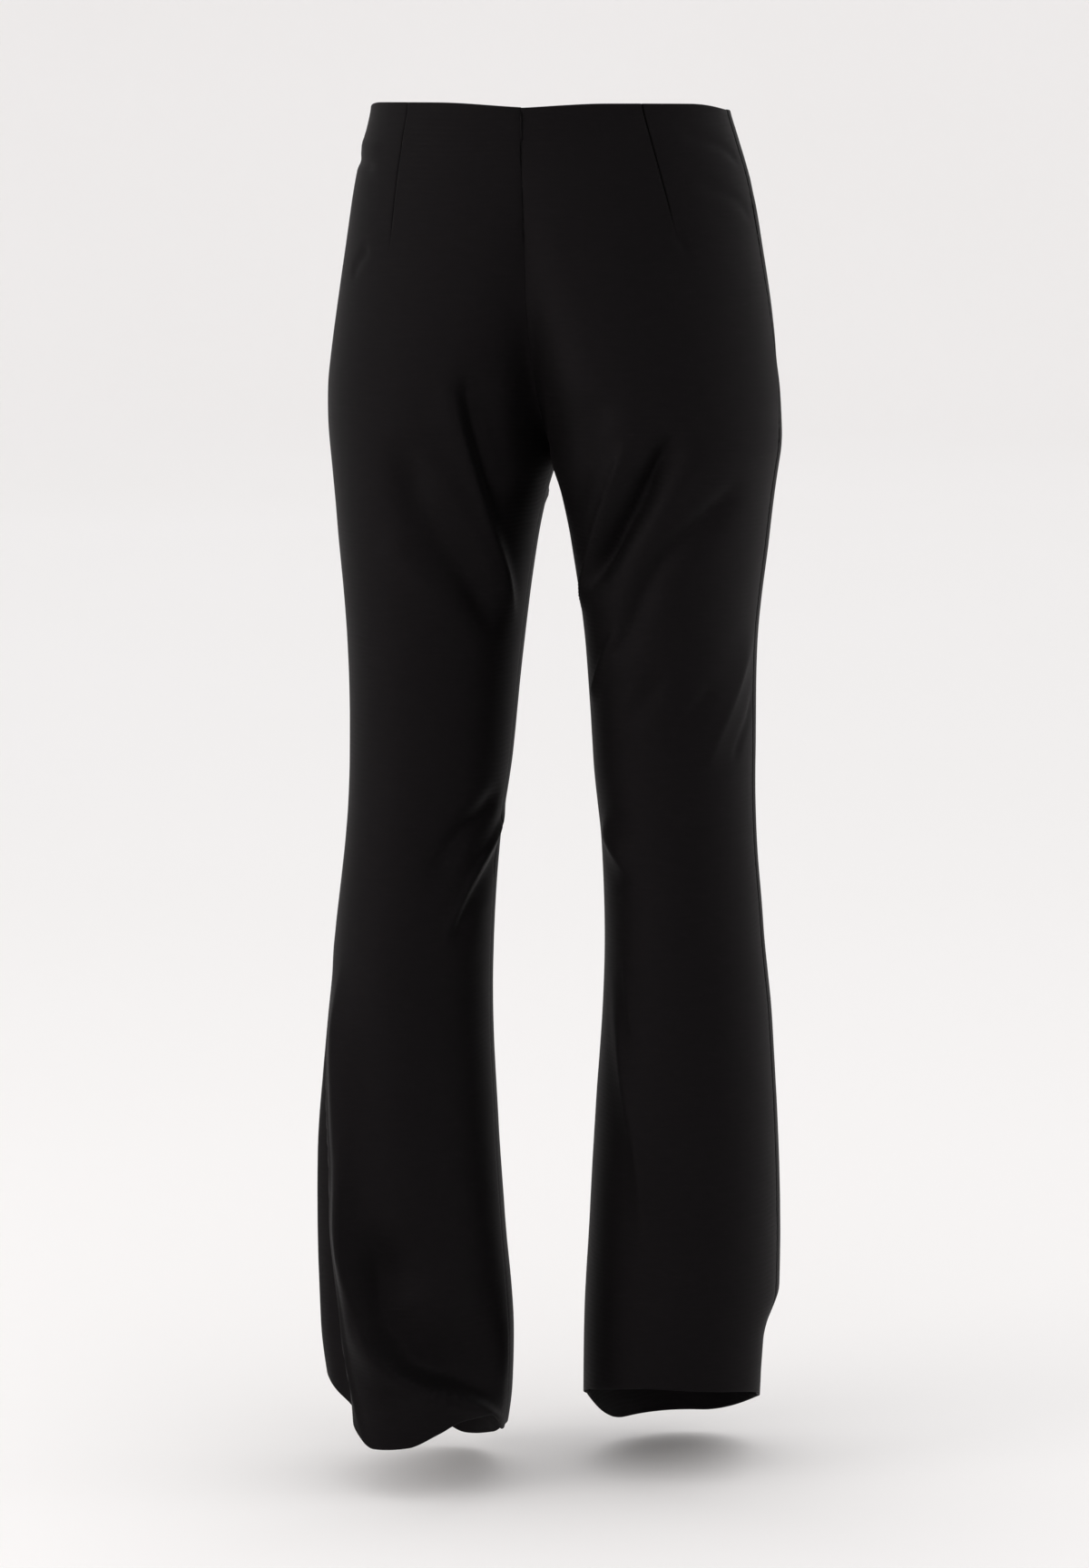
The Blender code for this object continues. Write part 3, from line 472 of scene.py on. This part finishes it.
def from_path(path, across, height, girth, reach):
    """Distance from a fold's path, its signed side, and the share of the path gone by."""
    path = np.array(path, float)
    stops = np.linspace(0, len(path) - 1, FOLD_STEPS)
    path_across = smooth_curve(range(len(path)), path[:, 0], stops)
    path_height = smooth_curve(range(len(path)), path[:, 1], stops)
    run = np.stack((np.diff(path_across), np.diff(path_height)), axis=-1)
    span = np.hypot(run[:, 0], run[:, 1])
    gone = np.concatenate(([0], np.cumsum(span)))
    nearest = np.full(height.shape, np.inf)
    side_of = np.zeros(height.shape)
    along = np.zeros(height.shape)
    for i in range(FOLD_STEPS - 1):
        dx = across - path_across[i]
        dx = dx - girth * np.round(dx / girth)
        dz = height - path_height[i]
        near = (np.abs(dz) < reach + span[i]) & (np.abs(dx) < reach + span[i])
        dx = dx[near]
        dz = dz[near]
        t = np.clip((dx * run[i, 0] + dz * run[i, 1]) / span[i] ** 2, 0, 1)
        off_x = dx - t * run[i, 0]
        off_z = dz - t * run[i, 1]
        distance = np.hypot(off_x, off_z)
        closer = distance < nearest[near]
        nearest[near] = np.where(closer, distance, nearest[near])
        side_of[near] = np.where(closer, run[i, 0] * off_z - run[i, 1] * off_x, side_of[near])
        along[near] = np.where(closer, (gone[i] + t * span[i]) / gone[-1], along[near])
    return nearest, side_of, along


def path_ends(along):
    """Fades a fold in and out at the ends of its path."""
    return smooth_step(along / FOLD_END) * smooth_step((1 - along) / FOLD_END)


def fold_lift(side, across, height, girth):
    """How far the folds lift each point off the smooth form."""
    lift = np.zeros_like(height)
    for fold in FOLDS[side]:
        named = dict(zip(FOLD_COLUMNS, fold))
        soft = named["kind"] == "soft"
        limit = max(named["inner"], named["outer"]) * (SOFT_EDGE if soft else 1) + CREST
        nearest, side_of, along = from_path(named["path"], across, height, girth, limit)
        reach = np.where(side_of < 0, named["inner"], named["outer"])
        if soft:
            shape = np.exp(-(nearest / reach) ** 2)
        else:
            from_crest = np.hypot(nearest, CREST) - CREST
            shape = np.clip(1 - from_crest / reach, 0, 1) ** 2
        lift += named["rise"] * shape * path_ends(along)
    return lift


def dart_lift(side, across, height, girth):
    """The dart's stitched line, and the shelf of cloth over its take-up."""
    proud, wide = DART_SHELF
    line = []
    for place, level in DARTS[side]:
        _, length = smooth_form(side, place, level)
        line.append(((place - 1) * float(length), level))
    nearest, side_of, along = from_path(line, across, height, girth, SOFT_EDGE * wide)
    shelf = np.where(side_of < 0, proud * np.exp(-nearest / wide), 0.0)
    groove = -DART_DEPTH[side] * np.exp(-(nearest / DART_HALF) ** 2)
    return (groove + shelf) * path_ends(along)


def unevenness(points):
    """A slow drift and a fine ripple over the cloth, the same on each run."""
    lift = np.empty(points.shape[:2])
    for index in np.ndindex(lift.shape):
        place = Vector(points[index])
        drift = DRIFT[0] * noise.noise(place / DRIFT[1])
        lift[index] = drift + RIPPLE[0] * noise.noise(place / RIPPLE[1])
    return lift


def seam_lift(from_seam, height):
    """The cloth's dip beside a seam, which comes and goes along it."""
    deep, wide = SEAM_SINK
    pucker, length = SEAM_PUCKER
    shift, slow = SEAM_WANDER
    wave = pucker * np.sin(height * 2 * math.pi / length + shift * np.sin(height / slow))
    return -(deep + wave) * np.exp(-(from_seam / wide) ** 2)


# ==== one half's grid
def inner_places(side, panel):
    """Shares across a piece of its columns between the ones that keep beside the seams."""
    shares = list(np.linspace(0, 1, INNER_COLUMNS[panel] + 2)[1:-1])
    if panel == "back":
        middle = DARTS[side][1][0]
        beside = [step / DART_WIDTH for step in DART_COLUMNS]
        close = [middle - step for step in beside] + [middle] + [middle + step for step in beside]
        kept = [share for share in shares if abs(share - middle) > beside[-1] + DART_CLEAR]
        shares = kept + close
    return np.sort(np.array(shares))


def bent_by_dart(side, around, height):
    """Places around moved so that one column follows the dart's line."""
    path = np.array(DARTS[side], float)[::-1]
    middle = DARTS[side][1][0]
    at = smooth_curve(path[:, 1], path[:, 0], height)
    return around + (at - middle) * np.exp(-((around - middle) / DART_PULL) ** 2)


def half_grid(side):
    """Points, outward directions and cloth coordinates of one half, back and front."""
    beside = np.array(SEAM_COLUMNS)
    count = len(beside)
    shares = {panel: inner_places(side, panel) for panel in PANELS}
    flat_around = np.concatenate([
        np.zeros(count), shares["back"], np.ones(count),
        np.ones(count), 2 - shares["front"][::-1], np.full(count, 2.0)])
    height = row_heights(side, flat_around)
    _, length = smooth_form(side, flat_around[None, :], height)
    around = np.empty_like(height)
    columns_of = {}
    first = 0
    for panel, start, way in (("back", 0, 1), ("front", 2, -1)):
        inner = shares[panel]
        total = 2 * count + len(inner)
        columns = slice(first, first + total)
        columns_of[panel] = columns
        part = length[:, columns]
        if panel == "front":
            part = part[:, ::-1]
        margin = SEAM_ALLOWANCE / part.mean(axis=1, keepdims=True)
        near = beside[None, :] / part[:, :count]
        far = beside[None, :] / part[:, -count:]
        if side == "left":
            wide, tall = SLOT
            at_seam = columns.stop - 1 if panel == "back" else columns.start
            off = (height[:, at_seam] - PULL_HEIGHT) / tall
            opened = wide * np.exp(-off ** 4)[:, None] * np.exp(-beside / SLOT_FADE)[None, :]
            far = far + opened / part[:, -count:]
        middle = margin + (1 - 2 * margin) * inner[None, :]
        share = np.hstack((near, middle, 1 - far[:, ::-1]))
        if panel == "back":
            share = bent_by_dart(side, share, height[:, columns])
        place = start + way * share
        around[:, columns] = place if panel == "back" else place[:, ::-1]
        first += total
    height = row_heights(side, around)
    points, length = smooth_form(side, around, height)
    across = (around - 1) * length
    girth = girth_of(side, height)
    seat_rows = len(WAIST_ROWS) + SEAT_ROWS
    lean = section_sizes(side, height[:, 0])["lean"]
    outward = form_normals(points, seat_rows, lean) * SIDES[side]
    is_back = around <= 1
    lift = fold_lift(side, across, height, girth)
    from_middle = (1 - np.abs(around - 1)) * length
    from_side = np.abs(across)
    fade = np.where(height > CROTCH - FADE_BELOW_CROTCH, smooth_step(from_middle / MIDLINE_FADE), 1.0)
    lift = lift * fade + np.where(is_back, dart_lift(side, across, height, girth), 0)
    lift += unevenness(points) * smooth_step(from_middle / MIDLINE_FADE)
    lift += seam_lift(from_middle, height) + seam_lift(from_side, height)
    if side == "right":
        proud, wide = BACK_SEAM_SHELF
        lift += np.where(is_back & (height > CROTCH), proud * np.exp(-from_middle / wide), 0)
    points = points + outward * lift[..., None]
    outward = form_normals(points, seat_rows, lean) * SIDES[side]
    cloth = np.stack(((np.abs(around - np.where(is_back, 0, 2)) - 0.5) * length, height), axis=-1)
    return points, outward, cloth, columns_of


def form_normals(points, rows_on_midline, lean):
    """Outward directions over one whole half, from the points beside each point."""
    left = points[:, -1].copy()
    right = points[:, 0].copy()
    seat = slice(0, rows_on_midline)
    left[seat] = points[seat, 0]
    left[seat, 0] = 2 * lean[seat] - left[seat, 0]
    right[seat] = points[seat, -1]
    right[seat, 0] = 2 * lean[seat] - right[seat, 0]
    padded = np.concatenate((left[:, None], points, right[:, None]), axis=1)
    along_row = padded[:, 2:] - padded[:, :-2]
    down = np.gradient(points, axis=0)
    return unit(np.cross(along_row, down))


# ==== cut pieces
def turned(count, places):
    """Which body column or row each one of the whole piece lies over, and how far under.

    The body's own ones come in the middle; an allowance lies before the first and after the
    last. places is how many of the body's ones the allowance at each end lies under.
    """
    going = [turn[1] for turn in EDGE_TURN]
    coming = [turn[2] for turn in EDGE_TURN]
    before = list(range(places[0] - 1, 0, -1))
    after = list(range(count - 2, count - 1 - places[1], -1))
    body = list(range(count))
    under = np.zeros(count)
    for i, depth in enumerate(going):
        under[i] = max(under[i], depth)
        under[count - 1 - i] = max(under[count - 1 - i], depth)
    back = [coming[i] if i < len(coming) else UNDER for i in range(max(places))]
    depths = [back[i] for i in before] + list(under) + [back[i] for i in range(1, places[1])]
    return np.array(before + body + after), np.array(depths)


def cut_piece(name, points, outward, cloth, finish):
    """One cut piece with its allowances turned under, as a thin wall of cloth."""
    rows, row_under = turned(points.shape[0], (len(WAIST_ROWS), len(HEM_ROWS)))
    columns, column_under = turned(points.shape[1], (len(SEAM_COLUMNS),) * 2)
    over_seam = np.zeros(len(columns))
    body_columns = points.shape[1]
    allowance = len(SEAM_COLUMNS) - 1
    for i in range(allowance + 1):
        rise = OVER_SEAM * smooth_step((allowance - i + 1) / OVER_SEAM_RAMP)
        over_seam[allowance + i] = rise
        over_seam[allowance + body_columns - 1 - i] = rise
    # where an edge is turned in, its seam allowances lie toward the body of the piece
    row_share = (row_under / UNDER)[:, None]
    under = (row_under[:, None] + column_under[None, :] * (1 - 2 * np.clip(row_share, 0, 1))
             + over_seam[None, :] * (row_share >= 1))
    grid = points[np.ix_(rows, columns)] - outward[np.ix_(rows, columns)] * under[..., None]
    flat = cloth[np.ix_(rows, columns)]
    row_count, column_count = grid.shape[:2]
    bm = bmesh.new()
    bmesh.ops.create_grid(bm, x_segments=column_count - 1, y_segments=row_count - 1, size=1.0)
    layer = bm.loops.layers.uv.new("cloth")
    index_of = {vert: grid_place(vert, row_count - 1, column_count - 1) for vert in bm.verts}
    row_body = (len(WAIST_ROWS) - 1, len(WAIST_ROWS) - 1 + points.shape[0])
    column_body = (allowance, allowance + body_columns)
    doubled = []    # the corners, where both allowances would lie on each other
    for face in bm.faces:
        places = [index_of[vert] for vert in face.verts]
        off_rows = all(not row_body[0] <= row < row_body[1] for row, _ in places)
        off_columns = all(not column_body[0] <= column < column_body[1] for _, column in places)
        if off_rows and off_columns:
            doubled.append(face)
        for loop, (row, column) in zip(face.loops, places):
            loop[layer].uv = flat[row, column] * MM
    for vert, (row, column) in index_of.items():
        vert.co = grid[row, column] * MM
    bmesh.ops.delete(bm, geom=doubled, context="FACES")
    piece = finished(name, bm, finish)
    give_wall(piece, outward[points.shape[0] // 2, points.shape[1] // 2], CLOTH)
    return piece


def grid_place(vert, rows, columns):
    """Row and column of a point in a grid that is still flat and two units wide."""
    return round((vert.co.y + 1) / 2 * rows), round((vert.co.x + 1) / 2 * columns)


def give_wall(piece, outward, thickness):
    """Turns a piece's faces outward, by its middle one, and thickens it inward."""
    middle = piece.data.polygons[len(piece.data.polygons) // 2]
    if middle.normal.dot(Vector(outward)) <= 0:
        piece.data.flip_normals()
    wall = piece.modifiers.new("wall", "SOLIDIFY")
    wall.thickness = thickness * MM
    wall.offset = -1


def finished(name, bm, finish):
    """A smooth-shaded object of a bmesh, with its finish."""
    mesh = bpy.data.meshes.new(name)
    bm.to_mesh(mesh)
    bm.free()
    mesh.materials.append(finish)
    mesh.shade_smooth()
    piece = bpy.data.objects.new(name, mesh)
    bpy.context.collection.objects.link(piece)
    return piece


# ==== zip
def seam_line(heights, under):
    """Points along the left side seam, this far under the cloth's face, and the way out there."""
    points, _ = smooth_form("left", 1, heights)
    down = np.gradient(points, axis=0)
    out = unit(np.cross((0.0, 1.0, 0.0), -down))
    return points - out * under, out


def zip_teeth(finish):
    """Two rows of coil teeth that mesh behind the seam, from the slider down."""
    count = int((TEETH_TOP - TAPE_END) / TOOTH_PITCH)
    heights = TEETH_TOP - TOOTH_PITCH * np.arange(count)
    middles, outs = seam_line(heights, TOOTH_UNDER)
    wide, deep, tall = TOOTH
    bm = bmesh.new()
    for i in range(count):
        across = 1 if i % 2 else -1
        place = Vector(middles[i]) + Vector((0, across * TOOTH_OFF, 0))
        made = bmesh.ops.create_uvsphere(bm, u_segments=TOOTH_FACES[0], v_segments=TOOTH_FACES[1],
                                         radius=0.5)
        out = Vector(outs[i])
        up = out.cross(Vector((0, 1, 0))).normalized()
        turn = Matrix((out, Vector((0, 1, 0)), up)).transposed().to_4x4()
        size = Matrix.Diagonal((deep, wide, tall, 1))
        placed = Matrix.Translation(place * MM) @ turn @ size @ Matrix.Scale(MM, 4)
        bmesh.ops.transform(bm, matrix=placed, verts=made["verts"])
    return finished("zip_teeth", bm, finish)


def woven_tape(panel, finish):
    """One zip tape behind its piece, with a slightly bowed face."""
    way = -1 if panel == "back" else 1
    bm = bmesh.new()
    heights = np.linspace(TAPE_TOP, TAPE_END, TAPE_ROWS + 1)
    spread = np.linspace(TAPE_FROM, TAPE_FROM + TAPE_WIDE, TAPE_COLUMNS + 1)
    grid_height = np.broadcast_to(heights[:, None], (TAPE_ROWS + 1, TAPE_COLUMNS + 1))
    _, length = smooth_form("left", 1 + way * BESIDE_SEAM, grid_height)
    points, _ = smooth_form("left", 1 + way * spread[None, :] / length, grid_height)
    along = np.gradient(points, axis=1) * way
    down = np.gradient(points, axis=0)
    out = unit(np.cross(along, down))
    points = points - out * TAPE_UNDER
    bmesh.ops.create_grid(bm, x_segments=TAPE_COLUMNS, y_segments=TAPE_ROWS, size=1.0)
    for vert in bm.verts:
        vert.co = points[grid_place(vert, TAPE_ROWS, TAPE_COLUMNS)] * MM
    tape = finished("woven_tape_" + panel, bm, finish)
    give_wall(tape, out[TAPE_ROWS // 2, TAPE_COLUMNS // 2], TAPE_THICK)
    return tape


# ==== finishes
def tone(code):
    """A linear colour from an sRGB hex code."""
    parts = [int(code[i:i + 2], 16) / 255 for i in (1, 3, 5)]
    return tuple(c / 12.92 if c <= 0.04045 else ((c + 0.055) / 1.055) ** 2.4 for c in parts) + (1.0,)


def set_inputs(tree, made, inputs):
    """Fills a node's sockets: from a node's first output, a named output, a hex colour or a number."""
    for socket, value in inputs.items():
        if isinstance(value, bpy.types.Node):
            tree.links.new(value.outputs[0], made.inputs[socket])
        elif isinstance(value, bpy.types.NodeSocket):
            tree.links.new(value, made.inputs[socket])
        else:
            made.inputs[socket].default_value = tone(value) if isinstance(value, str) else value


def node(tree, kind, inputs, **settings):
    """Adds a node. A mix has its two colours at sockets 6 and 7, and gives the mixed one at 2."""
    made = tree.nodes.new("ShaderNode" + kind)
    for name, value in settings.items():
        setattr(made, name, value)
    set_inputs(tree, made, inputs)
    return made


def new_finish(name):
    """An empty material, its tree and its shader."""
    material = bpy.data.materials.new(name)
    material.use_nodes = True
    tree = material.node_tree
    return material, tree, tree.nodes["Principled BSDF"]


def black_stretch_crepe():
    """Black polyester stretch crepe: a matt, pebbled weave of high-twist yarn.

    To the eye it is nearly black and even, with a soft grey bloom where it turns away from
    the light, and a faint run of crosswise yarns.
    """
    material, tree, shader = new_finish("black_stretch_crepe")
    place = node(tree, "UVMap", {}, uv_map="cloth")
    mm = node(tree, "VectorMath", {0: place, "Scale": 1 / MM}, operation="SCALE")
    # pebbles of the twisted yarn, 0.9 mm across: about twice life size, so that they show
    pebble = node(tree, "TexNoise", {"Vector": mm, "Scale": 1.1, "Detail": 2.0})
    # the crosswise yarns read as faint lines some 4 mm apart, which waver over 50 mm
    waver = node(tree, "TexNoise", {"Vector": mm, "Scale": 0.02, "Detail": 1.0})
    bend = node(tree, "VectorMath", {0: waver.outputs["Color"], "Scale": 9.0}, operation="SCALE")
    bent = node(tree, "VectorMath", {0: mm, 1: bend}, operation="ADD")
    weft = node(tree, "TexWave", {"Vector": bent, "Scale": 0.075}, bands_direction="Y")
    lines = node(tree, "Math", {0: weft.outputs["Fac"], 1: 0.7}, operation="MULTIPLY")
    relief = node(tree, "Math", {0: pebble.outputs["Fac"], 1: lines}, operation="ADD")
    bump = node(tree, "Bump", {"Height": relief, "Strength": 0.5, "Distance": 0.22 * MM})
    rough = node(tree, "MapRange", {"Value": pebble.outputs["Fac"], "To Min": 0.6, "To Max": 0.7})
    # the dye drifts over some 80 mm
    patch = node(tree, "TexNoise", {"Vector": mm, "Scale": 0.012, "Detail": 3.0})
    blend = node(tree, "Math", {0: pebble.outputs["Fac"], 1: patch.outputs["Fac"]}, operation="MULTIPLY")
    colour = node(tree, "Mix", {"Factor": blend, 6: "#020202", 7: "#060505"}, data_type="RGBA")
    set_inputs(tree, shader, {
        "Base Color": colour.outputs[2], "Roughness": rough, "Normal": bump,
        "Specular IOR Level": 0.088, "Specular Tint": "#FFF2FA",
        "Sheen Weight": 0.0106, "Sheen Roughness": 0.35, "Sheen Tint": "#FFF0F6"})
    return material


def woven_polyester():
    """Black woven polyester tape: fine ribs and picks, greyer and more matt than the crepe."""
    material, tree, shader = new_finish("woven_polyester_tape")
    place = node(tree, "TexCoord", {})
    mm = node(tree, "VectorMath", {0: place.outputs["Object"], "Scale": 1 / MM}, operation="SCALE")
    # ribs 0.8 mm apart across the tape, picks 0.6 mm apart along it
    rib = node(tree, "TexWave", {"Vector": mm, "Scale": 0.39}, bands_direction="Y")
    pick = node(tree, "TexWave", {"Vector": mm, "Scale": 0.52}, bands_direction="Z")
    weave = node(tree, "Math", {0: rib.outputs["Fac"], 1: pick.outputs["Fac"]}, operation="MULTIPLY")
    colour = node(tree, "Mix", {"Factor": weave, 6: "#0E0E0F", 7: "#1D1D1F"}, data_type="RGBA")
    bump = node(tree, "Bump", {"Height": weave, "Strength": 0.5, "Distance": 0.1 * MM})
    set_inputs(tree, shader, {"Base Color": colour.outputs[2], "Normal": bump,
                              "Roughness": 0.85, "Specular IOR Level": 0.2})
    return material


def nylon_coil():
    """Dyed nylon monofilament, set in a coil: smooth, with a small soft highlight."""
    material, tree, shader = new_finish("nylon_coil")
    place = node(tree, "TexCoord", {})
    # the tone differs a little from tooth to tooth, over 1.1 mm
    grain = node(tree, "TexNoise", {"Vector": place.outputs["Object"], "Scale": 900.0})
    colour = node(tree, "Mix", {"Factor": grain.outputs["Fac"], 6: "#121213", 7: "#1E1E20"},
                  data_type="RGBA")
    set_inputs(tree, shader, {"Base Color": colour.outputs[2], "Roughness": 0.38, "IOR": 1.53})
    return material


def enamelled_zinc():
    """Die-cast zinc under black enamel: glossy, and worn a little to grey in patches."""
    material, tree, shader = new_finish("black_enamelled_zinc")
    place = node(tree, "TexCoord", {})
    # worn patches 2.4 mm across
    flow = node(tree, "TexNoise", {"Vector": place.outputs["Object"], "Scale": 420.0, "Detail": 3.0})
    colour = node(tree, "Mix", {"Factor": flow.outputs["Fac"], 6: "#0F0F10", 7: "#232325"},
                  data_type="RGBA")
    rough = node(tree, "MapRange", {"Value": flow.outputs["Fac"], "To Min": 0.22, "To Max": 0.42})
    bump = node(tree, "Bump", {"Height": flow.outputs["Fac"], "Strength": 0.15, "Distance": 0.1 * MM})
    set_inputs(tree, shader, {"Base Color": colour.outputs[2], "Roughness": rough,
                              "Normal": bump})
    return material


def studio_paint():
    """Matt studio paint, pale, and very slightly uneven over some 2 m."""
    material, tree, shader = new_finish("matt_studio_paint")
    place = node(tree, "TexCoord", {})
    patch = node(tree, "TexNoise", {"Vector": place.outputs["Object"], "Scale": 0.5, "Detail": 2.0})
    colour = node(tree, "Mix", {"Factor": patch.outputs["Fac"], 6: "#F3F1F0", 7: "#F6F4F4"},
                  data_type="RGBA")
    set_inputs(tree, shader, {"Base Color": colour.outputs[2], "Roughness": 0.9,
                              "Specular IOR Level": 0.1})
    return material


# ==== studio
def studio():
    """A pale floor that coves up into a round wall."""
    radius = STUDIO["radius"]
    cove = STUDIO["cove"]
    bm = bmesh.new()
    profile = [(0.0, 0.0), (radius / 2, 0.0), (radius, 0.0)]
    profile += [(radius + cove * math.sin(turn), cove * (1 - math.cos(turn)))
                for turn in np.linspace(0, math.pi / 2, STUDIO["cove_steps"] + 1)[1:]]
    profile.append((radius + cove, STUDIO["wall"]))
    verts = [bm.verts.new((x, 0, FLOOR + z)) for x, z in profile]
    edges = [bm.edges.new(pair) for pair in zip(verts, verts[1:])]
    bmesh.ops.spin(bm, geom=verts + edges, cent=(0, 0, 0), axis=(0, 0, 1), angle=math.tau,
                   steps=STUDIO["steps"], use_merge=True)
    bmesh.ops.remove_doubles(bm, verts=bm.verts, dist=STUDIO["merge"])
    bmesh.ops.recalc_face_normals(bm, faces=bm.faces[:])
    floor = finished("studio_floor", bm, studio_paint())
    if floor.data.polygons[0].normal.z < 0:
        floor.data.flip_normals()


def soft_light(name, place, power):
    """A large rectangular softbox that looks at the trousers."""
    data = bpy.data.lights.new(name, "AREA")
    data.shape = "RECTANGLE"
    data.size, data.size_y = SOFTBOX_SIZE
    data.energy = power
    data.color = tone(SOFTBOX_COLOUR)[:3]
    lamp = bpy.data.objects.new(name, data)
    lamp.location = place
    lamp.rotation_euler = (SOFTBOX_AIM - place).to_track_quat("-Z", "Y").to_euler()
    bpy.context.collection.objects.link(lamp)


def lights_and_camera():
    """An even sky, softboxes on both sides, and the camera behind the wearer."""
    world = bpy.data.worlds.new("studio")
    world.use_nodes = True
    set_inputs(world.node_tree, world.node_tree.nodes["Background"], SKY)
    bpy.context.scene.world = world
    away = Vector((math.sin(AZIMUTH), -math.cos(AZIMUTH), 0))
    right = Vector((math.cos(AZIMUTH), math.sin(AZIMUTH), 0))
    for name, angle, power in SOFTBOXES:
        turn = math.radians(angle)
        sideways = away * math.cos(turn) + right * math.sin(turn)
        soft_light(name, SOFTBOX_AIM + sideways * SOFTBOX_FAR + SOFTBOX_UP, power)
    data = bpy.data.cameras.new("camera")
    data.lens = LENS
    data.sensor_width = SENSOR
    camera = bpy.data.objects.new("camera", data)
    back = away * math.cos(ELEVATION) + Vector((0, 0, math.sin(ELEVATION)))
    camera.location = TARGET + back * DISTANCE
    camera.rotation_euler = back.to_track_quat("Z", "Y").to_euler()
    bpy.context.collection.objects.link(camera)
    bpy.context.scene.camera = camera
    bpy.context.scene.view_settings.view_transform = "Standard"


# ==== the trousers
def dress():
    """All the pieces, each in its finish and on its body."""
    crepe = black_stretch_crepe()
    tape_finish = woven_polyester()
    coil = nylon_coil()
    enamel = enamelled_zinc()
    for side in SIDES:
        points, outward, cloth, columns_of = half_grid(side)
        for panel in PANELS:
            columns = columns_of[panel]
            name = panel + "_" + side
            piece = cut_piece("crepe_" + name, points[:, columns], outward[:, columns],
                              cloth[:, columns], crepe)
            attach(piece, BODY)
            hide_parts(name)
    for panel in PANELS:
        tape = woven_tape(panel, tape_finish)
        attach(tape, BODY)
        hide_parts("zip_tape_" + panel)
    teeth = zip_teeth(coil)
    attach(teeth, BODY)
    for name in ("zip_slider", "zip_pull"):
        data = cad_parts[name].data
        data.materials.clear()
        data.materials.append(enamel)


dress()
studio()
lights_and_camera()
